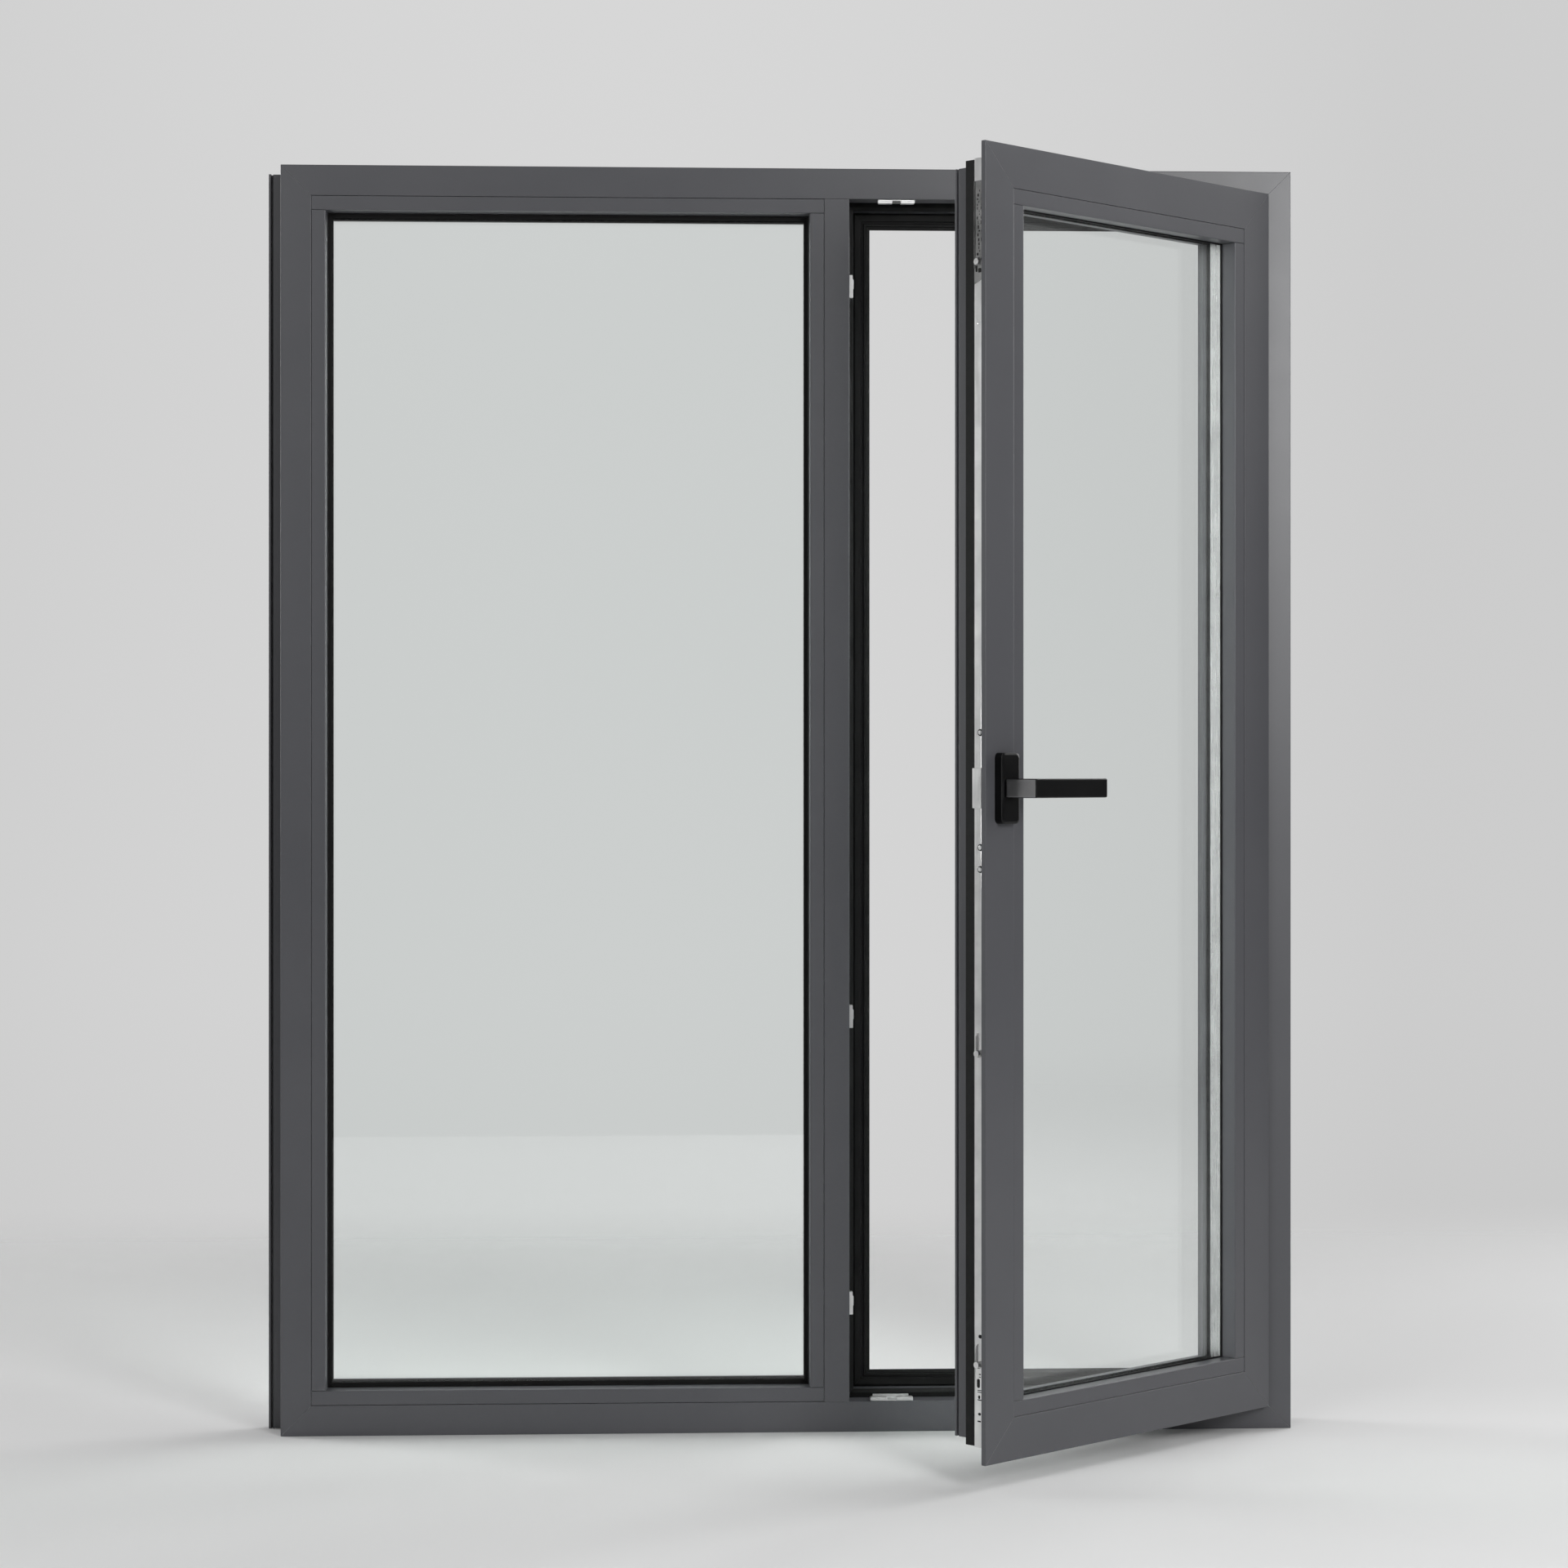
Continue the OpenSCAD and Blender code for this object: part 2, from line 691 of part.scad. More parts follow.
// Rod with its slots, along +X on a level edge; cam at x = cam
module rod(x0, x1, cams) {
  z = channel_h - channel_skin - play - rod_t;
  tip = edge_s - cam_tip_s;
  block([x0, rod_y - rod_w / 2, z], [x1, rod_y + rod_w / 2, z + rod_t]);
  for (c = cams) translate([c, rod_y, z]) cylinder(r = cam_r, h = tip - z);
}
module lock_rod() {
  s = screw_r + 0.4;
  color(silver) swung() on_lock_edge() difference() {
    rod(cam_low - 24, cam_top + 32, [cam_low, cam_mid, cam_top]);
    for (z = screw_z) {
      for (d = [0, rod_travel])
        translate([z - d, rod_y, 0]) cylinder(r = s, h = channel_h);
      block([z - rod_travel, rod_y - s, 0], [z, rod_y + s, channel_h]);
    }
  }
}
module top_rod() {
  color(silver) swung() translate([0, 0, sash_top])
    rod(cam_head_x - 11, cam_head_x + 59, [cam_head_x]);
}
module bottom_rod() {
  color(silver) swung() translate([0, 0, window_h]) mirror([0, 0, 1])
    translate([0, 0, sash_top]) rod(cam_sill_x - 38, cam_sill_x + 32, [cam_sill_x]);
}

// ---- handle ----
module rounded(w, h, r) {
  square([w - 2 * r, h], center = true);
  square([w, h - 2 * r], center = true);
  for (x = [-1, 1], y = [-1, 1])
    translate([x * (w / 2 - r), y * (h / 2 - r)]) circle(r = r);
}
// Handle axis: +Z of the child points into the room, +Y stays up
module at_handle() {
  translate([sash_x0 + handle_s, sash_y, handle_z]) rotate([90, 0, 0]) children();
}
collar_r = 8;
// Bar along Y whose top edges slope in by c
module sloped(w, len, c) {
  translate([0, len / 2, 0]) rotate([90, 0, 0]) linear_extrude(height = len)
    polygon([[-w / 2, 0], [w / 2, 0], [w / 2 - c, c], [c - w / 2, c]]);
}
module handle_rosette() {
  r = 6;
  c = 1.2;
  color(black) swung() at_handle() difference() {
    union() {
      linear_extrude(height = rosette_t - c) rounded(rosette_w, rosette_h, r);
      translate([0, 0, rosette_t - c]) {
        sloped(rosette_w, rosette_h - 2 * r, c);
        rotate([0, 0, 90]) sloped(rosette_h, rosette_w - 2 * r, c);
        for (x = [-1, 1], y = [-1, 1])
          translate([x * (rosette_w / 2 - r), y * (rosette_h / 2 - r), 0])
            cylinder(r1 = r, r2 = r - c, h = c);
      }
    }
    translate([0, 0, -1]) cylinder(r = collar_r + run_fit, h = rosette_t + 2);
  }
}
module spindle_bar(z0, z1) {
  block([-spindle_w / 2, -spindle_w / 2, z0], [spindle_w / 2, spindle_w / 2, z1]);
}
module handle_lever() {
  neck = 20;
  r = 2;
  color(black) swung() at_handle() difference() {
    union() {
      translate([0, 0, 2]) cylinder(r = collar_r, h = rosette_t);
      translate([-neck / 2, -lever_h / 2, rosette_t + play])
        cube([neck, lever_h, lever_reach - rosette_t - play - r]);
      translate([0, lever_h / 2, 0]) rotate([90, 0, 0])
        linear_extrude(height = lever_h) {
          translate([-neck / 2, lever_reach - grip_t])
            square([lever_len + neck / 2 - r, grip_t - r]);
          translate([-neck / 2 + r, lever_reach - grip_t])
            square([lever_len + neck / 2 - r - r, grip_t]);
          translate([-neck / 2 + r, lever_reach - r]) circle(r = r);
          translate([lever_len - r, lever_reach - grip_t])
            square([r, grip_t - r]);
          translate([lever_len - r, lever_reach - r]) circle(r = r);
        }
    }
    spindle_bar(-1, 34);
  }
}
module handle_spindle() {
  color(silver) swung() at_handle() spindle_bar(sash_y - gear_y1, 34);
}
module gearbox_follower() {
  color(silver) swung() at_handle() difference() {
    translate([0, 0, sash_y - gear_y1]) cylinder(r = follower_r - 1, h = gear_y1 - gear_y0 - play);
    spindle_bar(sash_y - gear_y1 - 1, 1);
  }
}

// ---- hinges, drawn at the top ----
module flat_arm(len) {
  block([0, -arm_w / 2, 0], [len, arm_w / 2, arm_t]);
  for (x = [0, len]) translate([x, 0, 0]) cylinder(r = eye_r, h = arm_t);
}
module eye_bore(x) {
  translate([x, 0, -1]) cylinder(r = pin_r + run_fit, h = arm_t + 2);
}
module arm_pin(x) {
  translate([x, 0, -play - arm_t]) cylinder(r = pin_r, h = play + arm_t + arm_t / 2);
}
module at_pivot(p, z, a) {
  translate([p[0], p[1], z]) rotate([0, 0, a]) children();
}
module hinge_frame_plates() {
  color(silver) top_and_bottom() {
    block([swing[0] - 58, room + 1, rebate_top - plate_t],
          [vent_x1 - 2, inner_end - 2, rebate_top]);
    for (p = [pivot_a1, pivot_a2]) translate([p[0], p[1], arm_z])
      cylinder(r = pin_r, h = arm_t + play + plate_t / 2);
  }
}
module hinge_sash_plates() {
  color(silver) swung() top_and_bottom() {
    block([swing[0] - far_sash - 15, room + 1, sash_top],
          [swing[0] - near_sash + 15, sash_inner_y - 1.5, sash_top + sash_plate_t]);
    for (r = [near_sash, far_sash])
      translate([swing[0] + r * cos(sash_dir), swing[1] + r * sin(sash_dir),
                 sash_top + sash_plate_t / 2])
        cylinder(r = pin_r, h = sash_plate_t / 2 + play + arm_t);
  }
}
module hinge_long_arms() {
  color(silver) top_and_bottom() at_pivot(pivot_a1, arm_z, arm_dir) {
    difference() {
      union() {
        flat_arm(far_sash);
        translate([near_sash, 0, 0]) cylinder(r = eye_r, h = arm_t);
      }
      eye_bore(0);
    }
    arm_pin(near_sash);
    arm_pin(far_sash);
  }
}
module hinge_short_arms() {
  color(silver) top_and_bottom() at_pivot(pivot_a2, arm_z, arm_dir) {
    difference() {
      flat_arm(near_sash);
      eye_bore(0);
    }
    arm_pin(near_sash);
  }
}
module hinge_long_links() {
  color(silver) top_and_bottom() at_pivot(pivot_c1, link_z, frame_dir)
    difference() {
      union() {
        flat_arm(far_frame);
        translate([near_frame, 0, 0]) cylinder(r = eye_r, h = arm_t);
      }
      for (x = [0, near_frame, far_frame]) eye_bore(x);
    }
}
module hinge_short_links() {
  color(silver) top_and_bottom() at_pivot(pivot_c2, link_z, frame_dir)
    difference() {
      flat_arm(near_frame);
      for (x = [0, near_frame]) eye_bore(x);
    }
}

frame_head_inner();
frame_sill_inner();
frame_left_jamb_inner();
frame_right_jamb_inner();
frame_outer_rails();
frame_outer_jambs();
frame_thermal_breaks();
mullion_inner();
mullion_outer();
coupling_profile();
fixed_bead_top();
fixed_bead_bottom();
fixed_bead_left();
fixed_bead_right();
fixed_panes();
fixed_spacer();
fixed_gaskets();
fixed_setting_blocks();
vent_stop_gasket();
vent_centre_gasket();
mullion_keepers();
head_keeper();
sill_keeper();
hinge_frame_plates();
sash_top_rail_inner();
sash_bottom_rail_inner();
sash_lock_stile_inner();
sash_hinge_stile_inner();
sash_outer_rails();
sash_outer_stiles();
sash_thermal_breaks();
sash_overlap_gasket();
sash_bead_top();
sash_bead_bottom();
sash_bead_lock_side();
sash_bead_hinge_side();
sash_panes();
sash_spacer();
sash_gaskets();
sash_setting_blocks();
sash_edge_seal();
lock_faceplate();
corner_drive_top();
corner_drive_bottom();
faceplate_screws();
forend_block();
gearbox();
handle_rosette();
hinge_sash_plates();
handle_lever();
handle_spindle();
gearbox_follower();
lock_rod();
top_rod();
bottom_rod();
hinge_long_arms();
hinge_short_arms();
hinge_long_links();
hinge_short_links();
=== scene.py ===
# %% [markdown]
# # A two-light casement window
# A metal window has a fixed light on the left and a vent on the right that opens into the
# room. Its frame comes ready-made as solids with sharp edges. This lesson keeps their places
# and gives each visible bar, strip and fitting the rounded edges and the finish that it has
# on a real window. Everything is measured from the solids, in metres.

import json
import math
import random

import bmesh
import bpy
from mathutils import Matrix, Vector


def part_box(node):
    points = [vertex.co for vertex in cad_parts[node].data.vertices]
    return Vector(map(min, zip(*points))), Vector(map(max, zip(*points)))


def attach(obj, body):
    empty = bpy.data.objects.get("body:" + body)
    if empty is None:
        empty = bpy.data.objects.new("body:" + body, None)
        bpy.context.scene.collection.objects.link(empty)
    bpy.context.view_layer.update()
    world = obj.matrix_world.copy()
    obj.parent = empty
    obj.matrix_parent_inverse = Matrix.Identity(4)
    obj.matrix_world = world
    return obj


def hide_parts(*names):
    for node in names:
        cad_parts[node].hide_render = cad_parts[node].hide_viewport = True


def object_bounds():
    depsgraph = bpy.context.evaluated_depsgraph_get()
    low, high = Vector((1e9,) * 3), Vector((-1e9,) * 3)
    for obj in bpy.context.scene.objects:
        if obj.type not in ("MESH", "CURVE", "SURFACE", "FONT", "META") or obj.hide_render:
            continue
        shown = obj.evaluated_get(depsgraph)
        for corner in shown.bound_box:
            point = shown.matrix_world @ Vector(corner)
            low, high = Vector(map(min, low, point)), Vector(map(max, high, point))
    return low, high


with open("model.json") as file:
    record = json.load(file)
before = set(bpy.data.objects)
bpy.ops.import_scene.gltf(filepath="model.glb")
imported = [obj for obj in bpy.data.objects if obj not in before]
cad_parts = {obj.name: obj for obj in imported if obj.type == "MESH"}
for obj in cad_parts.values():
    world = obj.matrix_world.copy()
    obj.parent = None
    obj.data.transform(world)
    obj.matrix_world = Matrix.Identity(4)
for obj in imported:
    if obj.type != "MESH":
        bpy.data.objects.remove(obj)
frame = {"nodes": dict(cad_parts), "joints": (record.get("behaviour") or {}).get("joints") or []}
cad_low, cad_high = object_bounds()
MM = 0.001
print("window", [round(v, 3) for v in cad_high - cad_low], "m")

# %% [markdown]
# ## The camera
# A long lens from about four metres keeps the frame's uprights straight. A level camera keeps
# them parallel, so the picture is framed with a little lens shift and not by tilting. It
# stands a little left of the middle and turns a few degrees to the right.

# %% Set up the camera
camera = bpy.data.objects.new("camera", bpy.data.cameras.new("camera"))
bpy.context.scene.collection.objects.link(camera)
camera.location = (-0.193, -4.206, 0.786)
camera.rotation_euler = (math.radians(90), 0, math.radians(-2.57))
camera.data.sensor_width = 36
camera.data.lens = 80.79
camera.data.shift_y = -0.00896
bpy.context.scene.camera = camera
bpy.context.scene.view_settings.view_transform = "Standard"
print("camera at", list(camera.location))

# %% [markdown]
# ## A small set of node helpers
# Every finish below is a tree of nodes. Typing each node and link in full would hide the
# idea, so these helpers add a node with its settings and join two sockets.


# %% Node helpers
def new_finish(name):
    finish = bpy.data.materials.new(name)
    finish.use_nodes = True
    tree = finish.node_tree
    shader = tree.nodes["Principled BSDF"]
    return finish, tree, shader


def add_node(tree, kind, inputs=(), **settings):
    node = tree.nodes.new("ShaderNode" + kind)
    for key, value in settings.items():
        setattr(node, key, value)
    for key, value in dict(inputs).items():
        node.inputs[key].default_value = value
    return node


def join(tree, source, target):
    tree.links.new(source, target)


def colour_ramp(tree, source, stops):
    ramp = add_node(tree, "ValToRGB")
    ramp.color_ramp.elements[0].position = stops[0][0]
    ramp.color_ramp.elements[0].color = (*stops[0][1], 1)
    ramp.color_ramp.elements[1].position = stops[-1][0]
    ramp.color_ramp.elements[1].color = (*stops[-1][1], 1)
    for position, colour in stops[1:-1]:
        stop = ramp.color_ramp.elements.new(position)
        stop.color = (*colour, 1)
    join(tree, source, ramp.inputs["Fac"])
    return ramp.outputs["Color"]


def grey_stops(stops):
    return [(position, (value, value, value)) for position, value in stops]


def spread(tree, source, low, high):
    span = add_node(tree, "MapRange", {"To Min": low, "To Max": high})
    join(tree, source, span.inputs["Value"])
    return span.outputs["Result"]


def grain(tree, scale, detail=3.0, stretch=(1, 1, 1)):
    place = add_node(tree, "TexCoord")
    fit = add_node(tree, "Mapping", {"Scale": stretch})
    noise = add_node(tree, "TexNoise", {"Scale": scale, "Detail": detail})
    join(tree, place.outputs["Object"], fit.inputs["Vector"])
    join(tree, fit.outputs["Vector"], noise.inputs["Vector"])
    return noise.outputs["Fac"]


def bump(tree, shader, source, depth, strength=1.0):
    relief = add_node(tree, "Bump", {"Distance": depth, "Strength": strength})
    join(tree, source, relief.inputs["Height"])
    join(tree, relief.outputs["Normal"], shader.inputs["Normal"])


def shader_mix(tree, factor, first, second):
    blend = add_node(tree, "MixShader")
    join(tree, factor, blend.inputs["Fac"])
    join(tree, first.outputs["BSDF"], blend.inputs[1])
    join(tree, second.outputs["BSDF"], blend.inputs[2])
    join(tree, blend.outputs["Shader"], tree.nodes["Material Output"].inputs["Surface"])


# How far the bevelled normal agrees with the face: full painted edge highlight, and none at all
HIGHLIGHT_FULL, HIGHLIGHT_NONE = 0.75, 0.985


# A mask of the rounded edges, where a lighter colour is mixed in as a painted highlight
def painted_edge_highlight(tree, reach):
    rounded = add_node(tree, "Bevel", {"Radius": reach}, samples=4)
    flat = add_node(tree, "NewGeometry")
    match = add_node(tree, "VectorMath", operation="DOT_PRODUCT")
    join(tree, rounded.outputs["Normal"], match.inputs[0])
    join(tree, flat.outputs["Normal"], match.inputs[1])
    limits = {"From Min": HIGHLIGHT_FULL, "From Max": HIGHLIGHT_NONE, "To Min": 1.0, "To Max": 0.0}
    highlight_share = add_node(tree, "MapRange", limits)
    join(tree, match.outputs["Value"], highlight_share.inputs["Value"])
    return highlight_share.outputs["Result"]


print("node helpers ready")

# %% [markdown]
# ## Floor and backdrop
# A product is shown on a pale sweep with no corner. A curved sheet could be modelled, but it
# would stand between the window and a camera behind it. Here the floor is a sheet that fades
# out towards the back and the sides, and the air beyond it has the same pale grey.

# %% Floor
floor_mesh = bpy.data.meshes.new("studio_floor")
half_width, front, back = 7.0, -3.37, 2.6
floor_mesh.from_pydata(
    [(-half_width, front, 0), (half_width, front, 0), (half_width, back, 0), (-half_width, back, 0)],
    [],
    [(0, 1, 2, 3)],
)
floor = bpy.data.objects.new("studio_floor", floor_mesh)
bpy.context.scene.collection.objects.link(floor)

floor_finish, tree, shader = new_finish("floor_paper")
shader.inputs["Roughness"].default_value = 0.75
shader.inputs["Specular IOR Level"].default_value = 0.2
place = add_node(tree, "TexCoord")
split = add_node(tree, "SeparateXYZ")
join(tree, place.outputs["Object"], split.inputs["Vector"])
depth = add_node(tree, "MapRange", {"From Min": -1.0, "From Max": 2.0})
join(tree, split.outputs["Y"], depth.inputs["Value"])
# Painted shade: the floor's colour darkens from just behind the window towards the back
painted_floor_shade = colour_ramp(
    tree,
    depth.outputs["Result"],
    grey_stops([(0.0, 0.87), (0.30, 0.86), (0.42, 0.77), (0.80, 0.72)]),
)
join(tree, painted_floor_shade, shader.inputs["Base Color"])
FADE_BACK = {"From Min": 0.9, "From Max": 2.2}
FADE_SIDE = {"From Min": 2.6, "From Max": 6.5}
fade = add_node(tree, "MapRange", FADE_BACK, interpolation_type="SMOOTHSTEP")
join(tree, split.outputs["Y"], fade.inputs["Value"])
aside = add_node(tree, "Math", operation="ABSOLUTE")
join(tree, split.outputs["X"], aside.inputs[0])
side_fade = add_node(tree, "MapRange", FADE_SIDE, interpolation_type="SMOOTHSTEP")
join(tree, aside.outputs["Value"], side_fade.inputs["Value"])
either = add_node(tree, "Math", operation="MAXIMUM")
join(tree, fade.outputs["Result"], either.inputs[0])
join(tree, side_fade.outputs["Result"], either.inputs[1])
clear = add_node(tree, "BsdfTransparent")
shader_mix(tree, either.outputs["Value"], shader, clear)
floor_mesh.materials.append(floor_finish)
print("floor", 2 * half_width, "x", back - front, "m")

# %% [markdown]
# ## Air and lights
# The backdrop is the brightest thing in the studio and the room in front is dark, so the satin
# paint shows each lamp as a soft slope of tone. The light comes from the backdrop: a
# direction's turn from straight back and its rise each pass through a ramp, and the two are
# multiplied. A ray from the camera, or one that has come through glass, never sees the air
# darker than a set pale grey, so the backdrop stays even.

# %% Surroundings
world = bpy.data.worlds.new("studio_air")
world.use_nodes = True
bpy.context.scene.world = world
tree = world.node_tree
air = tree.nodes["Background"]
place = add_node(tree, "TexCoord")
level = add_node(tree, "VectorMath", {1: (1, 1, 0)}, operation="MULTIPLY")
facing = add_node(tree, "VectorMath", operation="NORMALIZE")
turn = add_node(tree, "SeparateXYZ")
rise = add_node(tree, "SeparateXYZ")
join(tree, place.outputs["Generated"], level.inputs[0])
join(tree, level.outputs["Vector"], facing.inputs[0])
join(tree, facing.outputs["Vector"], turn.inputs["Vector"])
join(tree, place.outputs["Generated"], rise.inputs["Vector"])
TURN_TONES = [(0.0, 0.03), (0.38, 0.38), (0.707, 0.77), (0.93, 0.66), (0.976, 0.645), (1.0, 0.71)]
RISE_TONES = [(0.33, 0.95), (0.43, 0.9), (0.47, 0.94), (0.55, 0.94), (0.65, 0.97), (0.75, 1.0), (0.91, 0.1)]
PALE_GREY = 0.58
around = colour_ramp(tree, turn.outputs["Y"], grey_stops(TURN_TONES))
half_rise = add_node(tree, "MapRange", {"From Min": -1.0})
join(tree, rise.outputs["Z"], half_rise.inputs["Value"])
up_and_down = colour_ramp(tree, half_rise.outputs["Result"], grey_stops(RISE_TONES))
back_light = add_node(tree, "MixRGB", {"Fac": 1.0}, blend_type="MULTIPLY")
join(tree, around, back_light.inputs["Color1"])
join(tree, up_and_down, back_light.inputs["Color2"])
pale = add_node(tree, "MixRGB", {"Color2": (PALE_GREY, PALE_GREY, PALE_GREY, 1)}, blend_type="LIGHTEN")
path = add_node(tree, "LightPath")
seen = add_node(tree, "Math", operation="MAXIMUM")
join(tree, path.outputs["Is Camera Ray"], seen.inputs[0])
join(tree, path.outputs["Is Transmission Ray"], seen.inputs[1])
join(tree, seen.outputs["Value"], pale.inputs["Fac"])
join(tree, back_light.outputs["Color"], pale.inputs["Color1"])
join(tree, pale.outputs["Color"], air.inputs["Color"])
air.inputs["Strength"].default_value = 1.0
print("air", air.name)

# %% [markdown]
# Each soft box is placed by its bearing, its height and its distance from the middle of the
# window. Bearing 0 is straight in front and 90 is to the right. Three boxes close together on
# the right in front make one tall key light, which climbs the right jamb and leaves the
# mullion in the open sash's shade. Boxes on both sides and behind fill the sash and the edges.


# %% Soft boxes
def soft_box(name, bearing, height, distance, size, power):
    lamp = bpy.data.lights.new(name, "AREA")
    lamp.shape = "RECTANGLE"
    lamp.size, lamp.size_y = size
    lamp.energy = power
    box = bpy.data.objects.new(name, lamp)
    bpy.context.scene.collection.objects.link(box)
    turn, lift = math.radians(bearing), math.radians(height)
    away = Vector((math.cos(lift) * math.sin(turn), -math.cos(lift) * math.cos(turn), math.sin(lift)))
    box.location = middle + away * distance
    box.rotation_euler = (-away).to_track_quat("-Z", "Y").to_euler()
    box.visible_camera = False
    print(name, [round(v, 2) for v in box.location])


middle = Vector((0, 0, (cad_low.z + cad_high.z) / 2))
for name, bearing, height, distance, size, power in (
    ("key_middle", 25, 16, 4.0, (1.0, 1.0), 44.0),
    ("key_low", 25, 8, 4.0, (1.0, 1.0), 17.0),
    ("key_high", 18, 26, 4.0, (1.0, 1.0), 12.2),
    ("fill_high", -20, 32, 4.0, (1.4, 1.2), 14.0),
    ("fill_left", -30, 10, 4.2, (1.4, 1.4), 16.1),
    ("side_right", 92, 34, 4.1, (1.4, 1.2), 16.0),
    ("back_right_high", 115, 25, 4.2, (1.4, 1.4), 30.0),
    ("back_right", 130, 15, 4.1, (2.2, 1.6), 55.0),
    ("back_left", -110, 10, 4.2, (1.8, 1.6), 80.0),
):
    soft_box(name, bearing, height, distance, size, power)

# %% [markdown]
# ## Finishes
# Powder coat is a baked polymer film on aluminium: one dark grey, satin, with a very fine
# orange peel. Sharp edges are coloured lighter, a painted highlight along each edge. A noise at
# half-millimetre scale drives the bump, a wide noise drifts the colour, and a bevel test finds the edges.


# %% Powder coat
def powder_coat():
    finish, tree, shader = new_finish("graphite_powder_coat")
    drift = colour_ramp(
        tree,
        grain(tree, 6, 2),
        [(0.3, (0.078, 0.079, 0.087)), (0.7, (0.086, 0.087, 0.095))],
    )
    speck = colour_ramp(
        tree, grain(tree, 2500, 1), [(0.35, (0.94, 0.94, 0.94)), (0.7, (1.05, 1.05, 1.06))]
    )
    mixed = add_node(tree, "MixRGB", {"Fac": 1.0}, blend_type="MULTIPLY")
    join(tree, drift, mixed.inputs["Color1"])
    join(tree, speck, mixed.inputs["Color2"])
    # Lighter colour on the rounded edges: a painted highlight
    lit_edge_mix = add_node(tree, "MixRGB", {"Color2": (0.27, 0.272, 0.28, 1)})
    join(tree, painted_edge_highlight(tree, 0.0006), lit_edge_mix.inputs["Fac"])
    join(tree, mixed.outputs["Color"], lit_edge_mix.inputs["Color1"])
    join(tree, lit_edge_mix.outputs["Color"], shader.inputs["Base Color"])
    join(tree, spread(tree, grain(tree, 25, 3), 0.3, 0.36), shader.inputs["Roughness"])
    bump(tree, shader, grain(tree, 1400, 2), 0.00002, 0.5)
    return finish


coat = powder_coat()
print("finish", coat.name)


# %% [markdown]
# Rubber gaskets and the plastic insulating strips are both black, but not the same black.
# EPDM rubber is matt with a faint bloom along its length. Glass-filled polyamide is a little
# greyer and shows short streaks from the die.


# %% Rubber and insulating strip
def black_strip(name, dark, light, low, high, size, depth):
    finish, tree, shader = new_finish(name)
    cloud = grain(tree, size, 4)
    join(tree, colour_ramp(tree, cloud, [(0.3, dark), (0.75, light)]), shader.inputs["Base Color"])
    join(tree, spread(tree, cloud, low, high), shader.inputs["Roughness"])
    shader.inputs["Specular IOR Level"].default_value = 0.18
    bump(tree, shader, grain(tree, 900, 2), depth, 0.4)
    return finish


rubber = black_strip(
    "gasket_rubber", (0.003, 0.003, 0.003), (0.007, 0.007, 0.007), 0.42, 0.6, 40, 0.00003
)
polyamide = black_strip(
    "insulating_polyamide", (0.006, 0.006, 0.006), (0.012, 0.012, 0.012), 0.5, 0.65, 120, 0.00004
)
block_plastic = black_strip(
    "glazing_block_plastic", (0.02, 0.02, 0.02), (0.035, 0.035, 0.035), 0.45, 0.6, 60, 0.00003
)
print("finishes", rubber.name, polyamide.name, block_plastic.name)


# %% [markdown]
# ## Glass
# Float glass is clear with a faint green cast. A Principled shader with full transmission
# makes it, but a lamp's direct light can't pass it, and the panes would cast dark shadows. So
# rays towards a lamp meet a nearly clear shader instead. Slow rolls in the sheet are a bump.


# %% Float glass
def float_glass():
    finish, tree, shader = new_finish("float_glass")
    shader.inputs["Transmission Weight"].default_value = 1.0
    shader.inputs["IOR"].default_value = 1.5
    cast = [(0.3, (0.972, 0.99, 0.984)), (0.7, (0.978, 0.993, 0.988))]
    join(tree, colour_ramp(tree, grain(tree, 1.5, 1), cast), shader.inputs["Base Color"])
    join(tree, spread(tree, grain(tree, 3, 2), 0.0, 0.012), shader.inputs["Roughness"])
    clear = add_node(tree, "BsdfTransparent", {"Color": (0.95, 0.97, 0.96, 1)})
    path = add_node(tree, "LightPath")
    shader_mix(tree, path.outputs["Is Shadow Ray"], shader, clear)
    return finish


glass = float_glass()
print("finish", glass.name)


# %% [markdown]
# ## Bright metal
# The lock fittings are steel with a bright zinc plate, brushed lightly along their length.
# The corner drives are duller cast zinc, and their pockets get a near-black metal as painted shade. The
# spacer between the panes is thin mill-finish aluminium. All are metals, so their colour is that of their
# reflections.


# %% Zinc plate and spacer
def bright_metal(name, dark, light, low, high, stretch):
    finish, tree, shader = new_finish(name)
    shader.inputs["Metallic"].default_value = 1.0
    streak = grain(tree, 300, 3, stretch)
    patch = grain(tree, 35, 3)
    join(tree, colour_ramp(tree, patch, [(0.3, dark), (0.7, light)]), shader.inputs["Base Color"])
    join(tree, spread(tree, streak, low, high), shader.inputs["Roughness"])
    bump(tree, shader, streak, 0.00002, 0.4)
    return finish


EVEN = (1, 1, 1)
zinc = bright_metal("bright_zinc_plate", (0.7, 0.7, 0.7), (0.86, 0.86, 0.855), 0.26, 0.42, (1, 1, 0.08))
mill = bright_metal("spacer_mill_finish", (0.7, 0.7, 0.7), (0.82, 0.82, 0.82), 0.2, 0.34, (1, 1, 0.05))
cast_zinc = bright_metal("cast_zinc", (0.16, 0.16, 0.16), (0.34, 0.34, 0.335), 0.35, 0.55, EVEN)
# A near-black metal laid where holes and hollows are: painted shade
dark_oxide = bright_metal("dark_oxide", (0.015, 0.015, 0.015), (0.035, 0.035, 0.035), 0.4, 0.6, EVEN)
print("finishes", zinc.name, mill.name, cast_zinc.name, dark_oxide.name)
